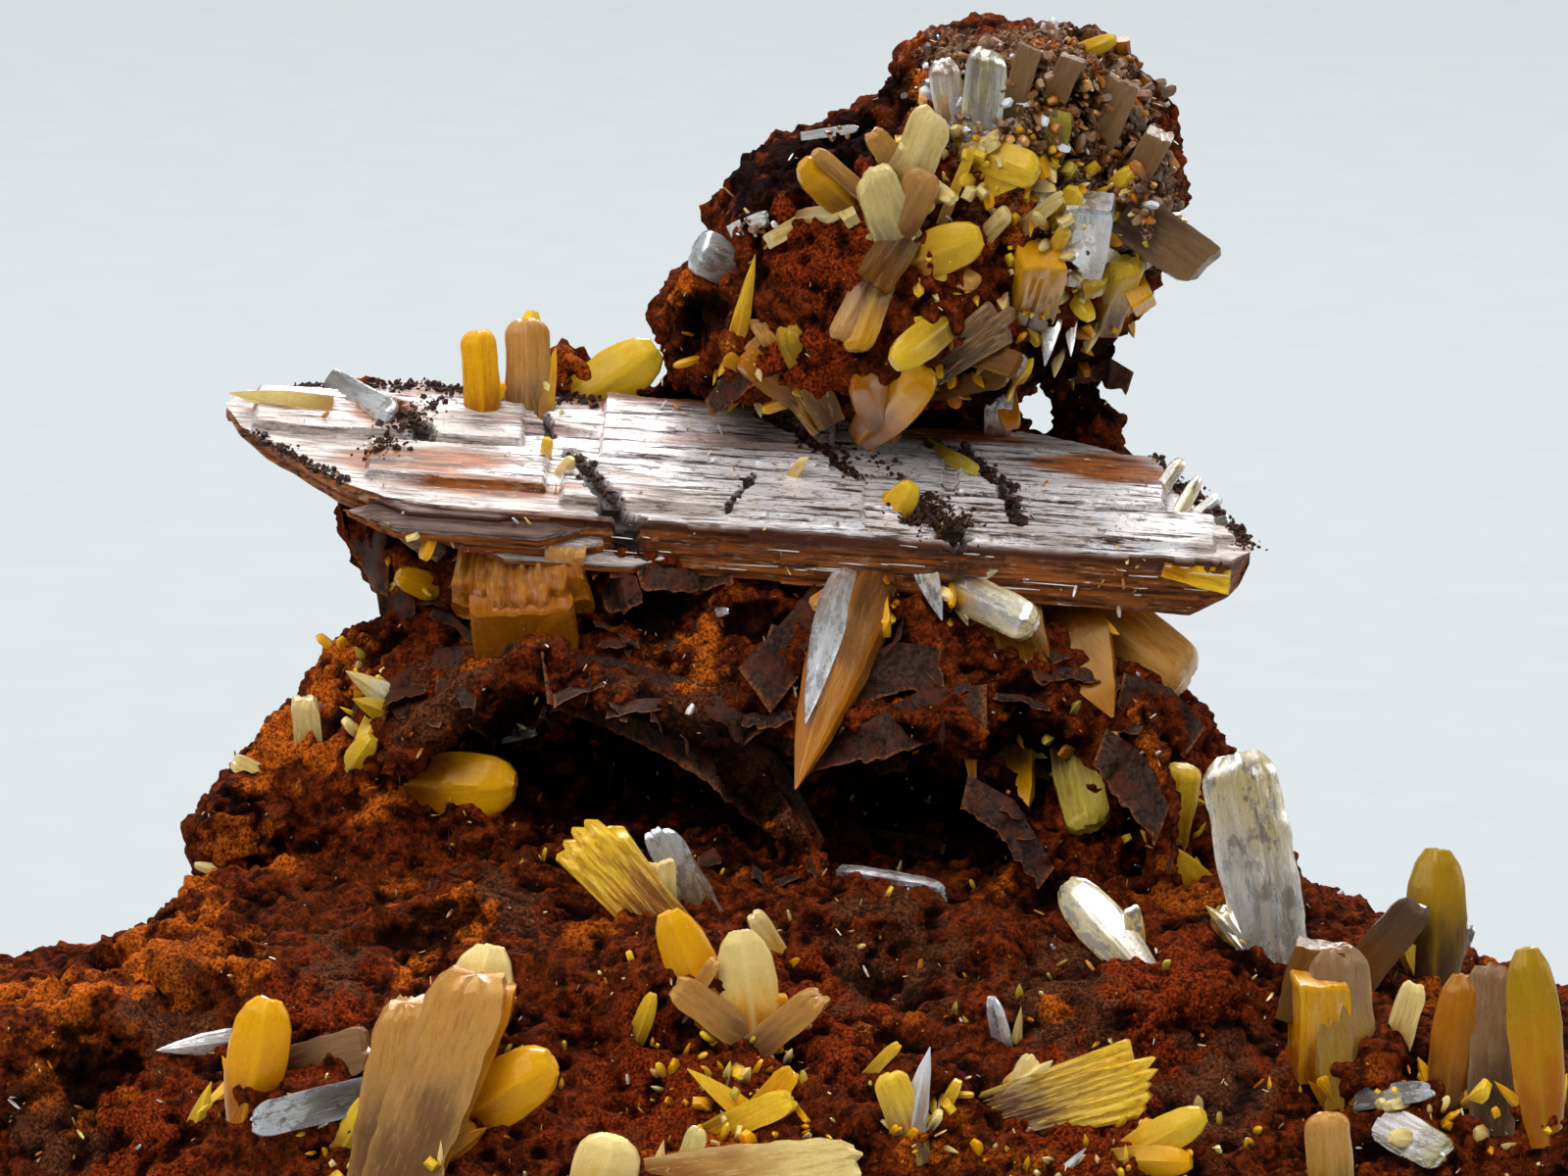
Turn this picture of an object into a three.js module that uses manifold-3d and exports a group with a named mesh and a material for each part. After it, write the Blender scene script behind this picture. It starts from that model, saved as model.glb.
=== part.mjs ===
// Wulfenite on limonite, a cabinet specimen about 57 mm wide, 37 mm deep and 42 mm high.
// A broad mound of iron oxide carries a hollow pillar and, above it, a knob.
// One long wulfenite lath lies across the pillar, and smaller crystals stand all over the rock.
// Millimetres, +Z up, display side towards -Y, flat sawn base at z = 0.
import * as THREE from 'three';
import { mergeVertices } from 'three/addons/utils/BufferGeometryUtils.js';
import { ImprovedNoise } from 'three/addons/math/ImprovedNoise.js';
import Module from 'manifold-3d';

const wasm = await Module();
wasm.setup();
const { Manifold, Mesh: SolidMesh } = wasm;

// ---------------------------------------------------------------- driving sizes

const VIEW_TILT = THREE.MathUtils.degToRad(10); // the display side is seen from this far above level
const BASE_DROP = 8;        // rock below the lowest point of the display side
const GAP = 0.3;            // clearance between pieces that touch
const ROOT_SUNK = 1.0;      // how far a crystal's root starts below the rock's surface
const ROCK_FACET = 0.36;    // facets of the rock closer than this to one plane are joined
const CRYSTAL_FACET = 0.1;  // the same for crystals
const SLIVER = 0.01;        // the least detail that a cut may leave
const MERGE = 1e-4;         // vertices closer than this are one

const LATH_SLOPE = -0.0708; // the lath dips to the right by this much per millimetre
const LATH_RISE = 19.8;     // height of the lath's front edge at mid length
const LATH_TILT = THREE.MathUtils.degToRad(34); // between the lath's face and the line of sight
const OPEN_OVER_LATH = 5;   // clear height over the lath's face
const OPEN_IN_LATH = 0.5;   // how far that space reaches into the lath

// ---------------------------------------------------------------- display frame

// Places are given as (across, up, away), as seen from the display side:
// across to the right, up in the plane facing the viewer, away from the viewer.
const ACROSS = new THREE.Vector3(1, 0, 0);
const UP = new THREE.Vector3(0, Math.sin(VIEW_TILT), Math.cos(VIEW_TILT));
const AWAY = new THREE.Vector3(0, Math.cos(VIEW_TILT), -Math.sin(VIEW_TILT));
const DISPLAY_BASIS = new THREE.Matrix4().makeBasis(ACROSS, AWAY, UP);
const FAR = 60;             // beyond the specimen on every side

function place(across, up, away) {
  return new THREE.Vector3(0, 0, BASE_DROP)
    .addScaledVector(ACROSS, across)
    .addScaledVector(UP, up)
    .addScaledVector(AWAY, away);
}

// ---------------------------------------------------------------- solids and geometries

function withoutDegenerates(index) {
  const kept = [];
  for (let i = 0; i < index.length; i += 3) {
    const [a, b, c] = [index[i], index[i + 1], index[i + 2]];
    if (a !== b && b !== c && c !== a) kept.push(a, b, c);
  }
  return new Uint32Array(kept);
}

function barePositions(geometry) {
  const bare = geometry.clone();
  bare.deleteAttribute('normal');
  bare.deleteAttribute('uv');
  return mergeVertices(bare, MERGE);
}

function toSolid(geometry) {
  const merged = barePositions(geometry);
  return new Manifold(new SolidMesh({
    numProp: 3,
    vertProperties: new Float32Array(merged.attributes.position.array),
    triVerts: withoutDegenerates(merged.index.array),
  }));
}

function toGeometry(solid) {
  const mesh = solid.getMesh();
  const geometry = new THREE.BufferGeometry();
  geometry.setAttribute('position', new THREE.BufferAttribute(mesh.vertProperties, 3));
  geometry.setIndex(new THREE.BufferAttribute(mesh.triVerts, 1));
  return geometry;
}

function largestBody(solid) {
  return solid.decompose().reduce((a, b) => (a.volume() > b.volume() ? a : b));
}

// Joins facets that lie within the tolerance of one plane, and keeps the main body.
function coarsened(solid, tolerance) {
  return largestBody(largestBody(solid).asOriginal().simplify(tolerance));
}

// Numbers between 0 and 1 that are the same in every run.
function seededRandom(seed) {
  let state = seed;
  return () => {
    state = (state * 1664525 + 1013904223) % 4294967296;
    return state / 4294967296;
  };
}

// ---------------------------------------------------------------- rock

const noise = new ImprovedNoise();

// Crags are three octaves of noise, each finer than the last and starting at its own offset.
const SWELLS = { frequency: 1, offset: [7.3, 1.7, 4.1] };
const KNOBS = { frequency: 2.3, offset: [0, 5.2, 0], share: 0.5, crest: 0.5, ridge: 1.6 };
const PITS = { frequency: 4.7, offset: [2.2, 0, 9.4], share: 0.45 };

function octave(point, swell, { frequency, offset }) {
  const [x, y, z] = point.toArray().map((value, i) => (frequency * value) / swell + offset[i]);
  return noise.noise(x, y, z);
}

function crag(point, swell, grain) {
  const knobs = KNOBS.crest - KNOBS.ridge * Math.abs(octave(point, swell, KNOBS));
  const pits = octave(point, swell, PITS);
  return grain * (octave(point, swell, SWELLS) + KNOBS.share * knobs + PITS.share * pits);
}

// Distance from the centre to a star-shaped outline, along a direction in its plane.
function outlineReach(outline, centre, angle) {
  const [dx, dy] = [Math.cos(angle), Math.sin(angle)];
  let reach = 0;
  outline.forEach(([ax, ay], i) => {
    const [bx, by] = outline[(i + 1) % outline.length];
    const [px, py, ex, ey] = [ax - centre[0], ay - centre[1], bx - ax, by - ay];
    const cross = dx * ey - dy * ex;
    const along = (px * dy - py * dx) / cross;
    const distance = (px * ey - py * ex) / cross;
    if (along >= 0 && along <= 1 && distance > reach) reach = distance;
  });
  return reach;
}

// A rounded mass whose front outline is given, as deep as near and far say.
// Its profile from near to far is full (squareness above 1) or runs to a cone (below 1), with one
// value sideways and one upwards. The outline twists with depth, so no step runs straight through.
function outlinedMass({ outline, centre, near, far, detail, swell, grain, squareness, twist = 0 }) {
  const geometry = barePositions(new THREE.IcosahedronGeometry(1, detail));
  const position = geometry.attributes.position;
  const middle = (near + far) / 2;
  const halfDepth = (far - near) / 2;
  const outward = new THREE.Vector3();
  for (let i = 0; i < position.count; i += 1) {
    const [x, y, z] = [position.getX(i), position.getY(i), position.getZ(i)];
    const angle = Math.atan2(z, x);
    const fullness = THREE.MathUtils.lerp(...squareness, Math.sin(angle) ** 2);
    const spread = Math.hypot(x, z) ** (1 / fullness);
    const depth = Math.sign(y) * Math.abs(y) ** (1 / fullness) * halfDepth;
    const reach = outlineReach(outline, centre, angle + twist * depth) * spread;
    const point = place(
      centre[0] + reach * Math.cos(angle),
      centre[1] + reach * Math.sin(angle),
      middle + depth,
    );
    outward.set(x, y, z).applyMatrix4(DISPLAY_BASIS);
    point.addScaledVector(outward, crag(point, swell, grain));
    position.setXYZ(i, point.x, point.y, point.z);
  }
  return toSolid(geometry);
}

// A single lump of rock: an ellipsoid with crags that grow with its size.
const LUMP_DETAIL = 2;
const ROUGHNESS = { lump: 0.25, knoll: 0.4, hollow: 0.1 };
const LEAST_SWELL = 1.2;
const LEAST_GRAIN = 0.3;

function lump([across, up, away], [wide, deep, high], roughness) {
  const geometry = barePositions(new THREE.IcosahedronGeometry(1, LUMP_DETAIL));
  const position = geometry.attributes.position;
  const centre = place(across, up, away);
  const swell = Math.max(LEAST_SWELL, 0.6 * Math.min(wide, high));
  const grain = Math.max(LEAST_GRAIN, roughness * Math.min(wide, high));
  for (let i = 0; i < position.count; i += 1) {
    const unit = new THREE.Vector3().fromBufferAttribute(position, i);
    const point = unit.clone().multiply(new THREE.Vector3(wide, deep, high));
    point.applyMatrix4(DISPLAY_BASIS).add(centre);
    point.addScaledVector(unit.applyMatrix4(DISPLAY_BASIS), crag(point, swell, grain));
    position.setXYZ(i, point.x, point.y, point.z);
  }
  return toSolid(geometry);
}

// A thin goethite sheet: a band along a line seen from the front, running back into the rock.
// Its thickness wavers along the line, between the least and the greatest share of the stated one.
const SHEET_STEPS = 12;
const SHEET_WAVER = { least: 0.7, extra: 0.6, turn: 2.1 };

function sheet({ line, thick, near, far }) {
  const curve = new THREE.CatmullRomCurve3(line.map(([x, y]) => new THREE.Vector3(x, y, 0)));
  const points = curve.getPoints(SHEET_STEPS);
  const upper = [];
  const lower = [];
  points.forEach((point, i) => {
    const heading = curve.getTangent(i / SHEET_STEPS);
    const waver = SHEET_WAVER.least + SHEET_WAVER.extra * Math.abs(Math.sin(i * SHEET_WAVER.turn));
    const half = (thick / 2) * waver;
    upper.push(new THREE.Vector2(point.x - heading.y * half, point.y + heading.x * half));
    lower.push(new THREE.Vector2(point.x + heading.y * half, point.y - heading.x * half));
  });
  const band = new THREE.Shape([...upper, ...lower.reverse()]);
  const geometry = new THREE.ExtrudeGeometry(band, { depth: far - near, bevelEnabled: false });
  const turn = new THREE.Matrix4().makeBasis(ACROSS, UP, AWAY);
  geometry.applyMatrix4(turn);
  const corner = place(0, 0, near);
  geometry.translate(corner.x, corner.y, corner.z);
  return toSolid(flipped(geometry));
}

// The display frame (across, up, away) is left-handed, so faces built in it are turned over.
function flipped(geometry) {
  const position = geometry.attributes.position;
  const turned = new Float32Array(position.array.length);
  for (let i = 0; i < position.count; i += 3) {
    [0, 2, 1].forEach((from, to) => {
      turned.set(position.array.subarray((i + from) * 3, (i + from) * 3 + 3), (i + to) * 3);
    });
  }
  const result = new THREE.BufferGeometry();
  result.setAttribute('position', new THREE.BufferAttribute(turned, 3));
  return result;
}

// The four great masses of the rock, by their outlines as seen from the display side.
const MOUND = {
  outline: [
    [27.8, -7], [27.2, 2.4], [25.4, 4.6], [21.5, 6.4], [18.9, 7.2], [17.0, 7.7], [15.4, 9.2],
    [8, 9.6], [-6, 9.8], [-14, 9.6], [-18.1, 8.0], [-20.4, 7.0], [-22.0, 5.9], [-23.3, 6.9],
    [-25.5, 6.3], [-27.6, 3.4], [-28.3, -7], [-24, -14], [0, -16], [24, -14],
  ],
  centre: [0, -7.5], near: -16.5, far: 17, detail: 8, swell: 6, grain: 1.5, squareness: [1.1, 0.75],
};
const SHOULDER = {
  outline: [
    [16, 6], [15.4, 9.0], [14.2, 11.2], [13.0, 13.2], [12.6, 14.8], [9, 17], [0, 18], [-8, 18],
    [-12.2, 16.9], [-13.0, 16.6], [-14.0, 16.4], [-15.0, 14.4], [-16.5, 12.6], [-17.2, 11.4],
    [-17.6, 9], [-18, 6], [-12, 1], [0, 0], [12, 1],
  ],
  centre: [-1, 9], near: -2, far: 13, detail: 7, swell: 4, grain: 0.9, squareness: [1.2, 1.2],
};
const PILLAR = {
  outline: [
    [12.2, 14.6], [10.6, 17.2], [10.4, 20.4], [10.4, 22.0], [7.6, 22.3], [6.0, 24.4], [-3, 24.4],
    [-6, 24.0], [-10, 23.6], [-13, 23.8], [-13.6, 21.2], [-13.3, 19.0], [-12.4, 18], [-12, 16],
    [-8, 12], [0, 11], [8, 12],
  ],
  centre: [-0.5, 18.5], near: 0.6, far: 12.5, detail: 6, swell: 3, grain: 0.8, squareness: [1.2, 1.2],
};
const KNOB = {
  outline: [
    [12.3, 30.1], [12.1, 31.6], [11.8, 32.6], [11.3, 33.5], [10.7, 34.2], [9.9, 34.9], [8.1, 35.2],
    [6.9, 35.7], [6.1, 35.8], [5.6, 35.1], [4.5, 35.0], [3.8, 34.9], [3.7, 33.2], [1.7, 32.7],
    [-0.2, 31.6], [-1.4, 30.6], [-2.2, 29.7], [-2.3, 28.2], [-2.7, 27.3], [-4.2, 26.8],
    [-3.3, 25.6], [-3.8, 24.4], [0, 23.4], [4, 23.2], [7.0, 23.8], [7.6, 24.6], [9.4, 24.6],
    [10.4, 25.9], [11.2, 26.3], [11.4, 27.6], [11.8, 29.3],
  ],
  centre: [4.6, 28.8], near: -0.6, far: 12.5, detail: 7, swell: 2.6, grain: 0.7, squareness: [1.2, 1.2],
  twist: 0.03,
};

// Smaller masses: [centre], [half width, half depth, half height].
const LUMPS = [
  [[3, 24, 9.5], [5, 3.4, 3.4]],              // neck behind the lath
  [[-16.5, 10.4, 2.2], [1.7, 2.2, 1.7]],      // grape-like lump on the left slope
  [[-14.6, 12.9, 3.5], [1.4, 2.2, 1.5]],
  [[-13, 8.8, 10], [5.0, 5.0, 4.6]],
  [[1, 11.0, 12], [6.4, 4.4, 6.0]],
  [[12, 6.4, 10], [5.0, 5.0, 4.4]],
  [[-21, 1.4, 4.5], [5.0, 5.4, 3.4]],         // blocks at the ends and back of the mound
  [[22, -1.0, 7], [4.6, 5.0, 4.2]],
  [[-9, -0.6, 14], [5.4, 3.6, 4.2]],
  [[7, -1.6, 15.5], [5.0, 3.0, 3.6]],
  [[-25, -3.6, -3], [3.4, 4.4, 3.4]],
  [[24.6, -4.2, -3.6], [3.2, 4.6, 3.2]],
  [[-8, 19.6, 9.5], [3.0, 3.2, 3.4]],
  [[8.6, 19.0, 9.5], [2.4, 3.0, 2.6]],
  [[1.6, 15.8, 1.2], [3.6, 1.6, 1.5]],        // ledge over the right cavity
  [[5.0, 14.3, 1.2], [2.6, 1.8, 1.1]],
  [[-6.6, 24.7, 6.6], [0.9, 1.2, 0.9]],       // crumbs standing behind the lath
  [[-12.6, 23.9, 6.4], [1.8, 1.0, 0.6]],
  [[8.9, 25.2, 7.2], [1.0, 1.6, 1.0]],        // spur at the right of the window
  [[9.0, 24.1, 7.4], [0.8, 1.3, 1.0]],
  [[9.6, 22.8, 7.8], [1.1, 1.5, 1.1]],
  [[11.0, 29.6, 2.4], [1.0, 2.0, 2.0]],
  [[7.4, 33.0, 1.6], [2.8, 2.0, 2.2]],        // drusy crown of the knob
  [[-2.6, 26.9, 4.0], [1.2, 1.6, 0.8]],       // rim at the left of the knob
];

// Knolls on the open slope of the mound: where they show, their half sizes, and how far they stand
// out of the slope.
const KNOLLS = [
  { at: [-21.6, 3.8], size: [4.2, 3.0, 2.2], proud: 1.0 },
  { at: [-16.2, 6.0], size: [3.0, 2.4, 1.6], proud: 0.8 },
  { at: [-9.6, 7.2], size: [3.4, 2.4, 1.6], proud: 0.9 },
  { at: [-13.0, 1.8], size: [3.6, 2.4, 2.2], proud: 0.8 },
  { at: [-3.4, 5.4], size: [3.8, 2.6, 2.0], proud: 0.9 },
  { at: [1.6, 7.6], size: [3.6, 2.2, 1.3], proud: 0.8 },
  { at: [6.6, 6.6], size: [3.0, 2.2, 1.6], proud: 0.8 },
  { at: [3.6, 1.6], size: [4.4, 2.6, 2.4], proud: 0.9 },
  { at: [11.2, 4.6], size: [3.4, 2.4, 2.0], proud: 0.9 },
  { at: [17.8, 3.0], size: [3.6, 2.8, 2.4], proud: 1.0 },
  { at: [22.6, 1.6], size: [3.0, 2.8, 2.4], proud: 0.9 },
];

// Hollows: the black cavity under the sheets, and smaller pockets.
const HOLLOWS = [
  [[-5.0, 12.3, -0.8], [5.2, 5.6, 2.3]],
  [[3.2, 11.0, -1.0], [5.6, 5.4, 1.9]],
  [[-4.0, 17.6, 0.4], [2.2, 2.0, 1.2]],
  [[7.4, 12.4, -1.0], [2.2, 3.4, 1.7]],
  [[-20.9, 3.0, -10.4], [1.2, 1.4, 0.9]],
  [[7.6, 23.5, 6.0], [0.62, 9.0, 0.72]],      // the window beside the neck
];

const SHEETS = [
  { line: [[-12.2, 12.3], [-10.8, 13.9], [-9.0, 15.2], [-6.8, 16.0]], thick: 0.9, near: -2.4, far: 4 },
  { line: [[-7.8, 15.2], [-5.0, 14.9], [-2.2, 13.4], [-0.4, 11.4], [0.9, 9.4]],
    thick: 0.8, near: -2.6, far: 4 },
  { line: [[0.9, 13.6], [3.2, 14.1], [6.2, 13.3]], thick: 0.6, near: -2.2, far: 4 },
  { line: [[6.2, 12.4], [7.2, 10.8], [8.2, 9.0]], thick: 0.6, near: -2.4, far: 3 },
  { line: [[10.8, 14.6], [11.4, 12.0], [11.6, 9.2]], thick: 0.6, near: -2.8, far: 3 },
];

function knollOn(probe, { at, size, proud }) {
  return lump([...at, probe(at).away + size[1] - proud], size, ROUGHNESS.knoll);
}

function sawnBelow(solid) {
  const block = new THREE.BoxGeometry(2 * FAR, 2 * FAR, FAR).translate(0, 0, -FAR / 2);
  return solid.subtract(toSolid(block));
}

function buildRock() {
  const pillar = outlinedMass(PILLAR).subtract(clearOverLath());
  const masses = Manifold.union([pillar, ...[MOUND, SHOULDER, KNOB].map(outlinedMass)]);
  const probe = makeProbe(masses);
  const lumps = LUMPS.map(([centre, size]) => lump(centre, size, ROUGHNESS.lump));
  const knolls = KNOLLS.map((knoll) => knollOn(probe, knoll));
  const hollows = HOLLOWS.map(([centre, size]) => lump(centre, size, ROUGHNESS.hollow));
  const solidRock = Manifold.union([masses, ...lumps, ...knolls]);
  const hollowed = solidRock.subtract(Manifold.union(hollows));
  return sawnBelow(Manifold.union([hollowed, ...SHEETS.map(sheet)]));
}

// ---------------------------------------------------------------- the long lath

// The lath's main plate, in its own face: [along, across the face from the front edge].
const LATH_FACE = [
  [-17.1, 4.0], [-15.2, 2.3], [-13.7, 0.95], [-12.3, 0.3], [-10.5, 0], [13.7, 0], [14.3, 0.5],
  [13.4, 2.4], [11.1, 5.2], [7.8, 6.3], [2.1, 6.2], [-0.4, 7.0], [-6, 6.5], [-9.9, 6.3],
  [-11.7, 6.8], [-15, 6.0], [-16.8, 5.7],
];
const FACE_THICK = 0.8;
const LATH_BEVEL = 0.14;
const STRIP_TAPER = 0.6;    // length of a strip's point, as a share of its width

// Parallel strips that step up or down from the main plate, pointed at both ends.
const LATH_STRIPS = [
  { from: -6.9, to: 2.4, near: 0.5, far: 3.0, top: 0.35, thick: 0.8 },
  { from: -5.8, to: 1.3, near: 3.0, far: 6.3, top: 0.5, thick: 0.9 },
  { from: 4.2, to: 13.2, near: 0.3, far: 2.2, top: 0.3, thick: 0.7 },
  { from: 5.2, to: 11.6, near: 2.2, far: 4.9, top: 0.45, thick: 0.9 },
  { from: -16.5, to: -8.2, near: 3.5, far: 5.6, top: 0.35, thick: 0.8 },
  { from: -12.9, to: -7.4, near: 1.2, far: 3.2, top: 0.25, thick: 0.7 },
  { from: -13.3, to: -6.0, near: -0.7, far: 0.7, top: -0.35, thick: 0.6 },
  { from: -11.4, to: -4.6, near: -0.35, far: 1.6, top: -0.7, thick: 0.7 },
  { from: -12.0, to: 13.4, near: 0.2, far: 5.4, top: -0.6, thick: 0.6 },
  { from: -4.6, to: 13.8, near: -0.15, far: 3.6, top: -1.0, thick: 1.1 },
];

// Cracks across the lath: [along, across], half length, turn in the face in degrees.
const LATH_CRACKS = [
  { at: [1.3, 3.4], half: 1.9, turn: -50 },
  { at: [5.8, 2.6], half: 2.2, turn: -52 },
  { at: [-1.4, 0.9], half: 0.9, turn: 62 },
];
const CRACK = { wide: 0.35, deep: 0.7, level: 0.4 };

// The lath's own axes: along its length, across its face away from the viewer, and out of its face.
function lathBasis() {
  const along = ACROSS.clone().addScaledVector(UP, LATH_SLOPE).normalize();
  const rise = UP.clone().multiplyScalar(Math.sin(LATH_TILT));
  const across = rise.addScaledVector(AWAY, Math.cos(LATH_TILT));
  across.addScaledVector(along, -across.dot(along)).normalize();
  const out = along.clone().cross(across);
  return new THREE.Matrix4().makeBasis(along, across, out).setPosition(place(0, LATH_RISE, 0));
}

function stripOutline({ from, to, near, far }) {
  const middle = (near + far) / 2;
  const taper = STRIP_TAPER * (far - near);
  return [
    [from, middle], [from + taper, near], [to - taper, near],
    [to, middle], [to - taper, far], [from + taper, far],
  ];
}

function lathPlates() {
  const face = { outline: LATH_FACE, top: 0, thick: FACE_THICK };
  return [face, ...LATH_STRIPS.map((strip) => ({ ...strip, outline: stripOutline(strip) }))];
}

function lathPlate({ outline, top, thick }, grow = 0) {
  const shape = new THREE.Shape(outline.map(([along, across]) => new THREE.Vector2(along, across)));
  const bevel = Math.min(LATH_BEVEL, thick / 4);
  const geometry = new THREE.ExtrudeGeometry(shape, {
    depth: thick - 2 * bevel + 2 * grow,
    bevelThickness: bevel,
    bevelSize: bevel + grow,
    bevelOffset: -bevel,
    bevelSegments: 1,
  });
  geometry.translate(0, 0, top - thick + bevel - grow);
  return toSolid(geometry.applyMatrix4(lathBasis()));
}

function lathCrack({ at, half, turn }) {
  const geometry = new THREE.BoxGeometry(2 * half, CRACK.wide, 2 * CRACK.deep);
  geometry.rotateZ(THREE.MathUtils.degToRad(turn));
  geometry.translate(at[0], at[1], CRACK.level);
  return toSolid(geometry.applyMatrix4(lathBasis()));
}

function buildLath() {
  const body = Manifold.union(lathPlates().map((plate) => lathPlate(plate)));
  return coarsened(body.subtract(Manifold.union(LATH_CRACKS.map(lathCrack))), CRYSTAL_FACET);
}

// The open space over the lath's face, which the pillar keeps out of.
function clearOverLath() {
  const thick = OPEN_OVER_LATH + OPEN_IN_LATH;
  return lathPlate({ outline: LATH_FACE, top: OPEN_OVER_LATH, thick });
}

function lathSlot() {
  return Manifold.union(lathPlates().map((plate) => lathPlate(plate, GAP)));
}

// ---------------------------------------------------------------- crystal habits

// Radius (share of half width) against length (share of the whole), from root to tip.
const HABITS = {
  prism: { sides: 6, profile: [[0, 0], [0.92, 0], [1, 0.5], [0.93, 0.88], [0.5, 1], [0, 1]] },
  block: { sides: 4, profile: [[0, 0], [0.95, 0], [1, 0.9], [0.86, 1], [0, 1]] },
  slab: { sides: 6, profile: [[0, 0], [0.9, 0], [1, 0.6], [0.8, 0.93], [0, 1]] },
  lens: { sides: 6, profile: [[0, 0], [0.62, 0], [1, 0.45], [0.78, 0.8], [0.25, 1], [0, 1]] },
  spear: { sides: 6, profile: [[0, 0], [0.8, 0], [1, 0.3], [0.62, 0.72], [0, 1]] },
  tooth: { sides: 4, profile: [[0, 0], [1, 0], [0.86, 0.45], [0, 1]] },
  blade: { sides: 4, profile: [[0, 0], [1, 0], [1, 0.84], [0.2, 1], [0, 1]] },
};

// One crystal standing on the XZ plane with its length along +Y, its broad face towards +Z.
function crystalGeometry({ habit, length, width, thick }) {
  const { sides, profile } = HABITS[habit];
  const points = profile.map(([radius, share]) => new THREE.Vector2(radius, share * length));
  const geometry = new THREE.LatheGeometry(points, sides, sides === 4 ? Math.PI / 4 : 0);
  const squareness = sides === 4 ? Math.SQRT2 : 1;
  return geometry.scale((squareness * width) / 2, 1, (squareness * thick) / 2);
}

// Blades grown side by side, each ending at its own height. Shares are of the set's own sizes.
const BLADE = { overlap: 1.2, shortest: 0.78, thinnest: 0.6 };

function bladeSet({ length, width, thick, blades }) {
  const random = seededRandom(Math.round(1000 * (length + width)));
  const pitch = width / blades;
  return Array.from({ length: blades }, (_, i) => {
    const geometry = crystalGeometry({
      habit: 'blade',
      length: length * THREE.MathUtils.lerp(BLADE.shortest, 1, random()),
      width: pitch * BLADE.overlap,
      thick: thick * THREE.MathUtils.lerp(BLADE.thinnest, 1, random()),
    });
    return geometry.translate((i + 0.5) * pitch - width / 2, 0, 0);
  });
}

// Turns a crystal's length to root -> tip, with its broad face towards the viewer, then rolled.
function aim(geometry, root, tip, roll) {
  const length = tip.clone().sub(root).normalize();
  const viewer = AWAY.clone().negate();
  const side = length.clone().cross(viewer).normalize();
  const face = side.clone().cross(length);
  geometry.rotateY(THREE.MathUtils.degToRad(roll));
  return geometry.applyMatrix4(new THREE.Matrix4().makeBasis(side, length, face).setPosition(root));
}

// ---------------------------------------------------------------- seating crystals

// A probe finds the surface of a solid along the line of sight.
function makeProbe(solid) {
  const geometry = toGeometry(solid);
  geometry.computeVertexNormals();
  const target = new THREE.Mesh(geometry, new THREE.MeshStandardMaterial());
  return ([across, up]) => {
    const ray = new THREE.Raycaster(place(across, up, -FAR), AWAY);
    const [hit] = ray.intersectObject(target);
    return hit ? { away: hit.distance - FAR, normal: hit.face.normal.clone() } : null;
  };
}

// How a crystal stands unless it says otherwise: its roll in degrees, how far its tip leans to the
// viewer, how far its tip stays clear of the rock, and how deep its middle lies in its own thickness.
const STANCE = { roll: 0, lean: 0.5, lift: 0.35, settled: 0.25 };

// Crystals of one cluster may share a foot, the spot on the rock where they all start.
function crystalSolid(crystal, foot, probe) {
  const { width, thick, habit, blades, roll, lean, lift, settled } = { ...STANCE, ...crystal };
  const seat = probe(foot ?? crystal.root);
  if (!seat) throw new Error(`no rock behind the root at ${crystal.root}`);
  const { away = seat.away + settled * thick } = crystal;
  const under = probe(crystal.tip);
  const clear = under ? under.away - lift : Infinity;
  const root = place(...crystal.root, away);
  const tip = place(...crystal.tip, Math.min(away - lean, clear));
  const length = tip.clone().sub(root);
  const start = root.clone().addScaledVector(length.clone().normalize(), -ROOT_SUNK);
  const shape = { habit, width, thick, blades, length: length.length() + ROOT_SUNK };
  const forms = blades ? bladeSet(shape) : [crystalGeometry(shape)];
  return {
    solid: Manifold.union(forms.map((form) => toSolid(aim(form, start, tip, roll)))),
    outward: seat.normal.add(length.normalize()).sub(AWAY).normalize(),
  };
}

// Cuts a crystal where the host begins, draws it clear by the gap, and cuts it again.
function seated(cluster, host, probe) {
  const grown = cluster.crystals.map((crystal) => crystalSolid(crystal, cluster.foot, probe));
  const outward = new THREE.Vector3();
  grown.forEach((crystal) => outward.add(crystal.outward));
  outward.normalize().multiplyScalar(GAP);
  const body = Manifold.union(grown.map((crystal) => crystal.solid));
  const clear = coarsened(body.subtract(host), CRYSTAL_FACET);
  return coarsened(clear.translate([outward.x, outward.y, outward.z]).subtract(host), SLIVER);
}

// ---------------------------------------------------------------- the crystals, place by place

const ON_THE_LATH = [
  { name: 'lath_top_prism', tint: 'yellow', crystals: [
    { root: [-9.3, 23.6], tip: [-9.35, 26.0], width: 1.15, thick: 1.0, habit: 'prism', lean: 0 },
  ] },
  { name: 'lath_top_grey_crystal', tint: 'pale', crystals: [
    { root: [-7.9, 23.5], tip: [-7.9, 26.3], width: 1.4, thick: 1.0, habit: 'prism', lean: 0 },
    { root: [-7.5, 23.5], tip: [-7.0, 25.4], width: 0.9, thick: 0.8, habit: 'tooth', lean: 0 },
  ] },
  { name: 'lath_top_lens', tint: 'yellow', crystals: [
    { root: [-6.0, 23.8], tip: [-3.9, 25.3], width: 1.7, thick: 1.2, habit: 'lens', lean: 0.4 },
  ] },
];

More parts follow.
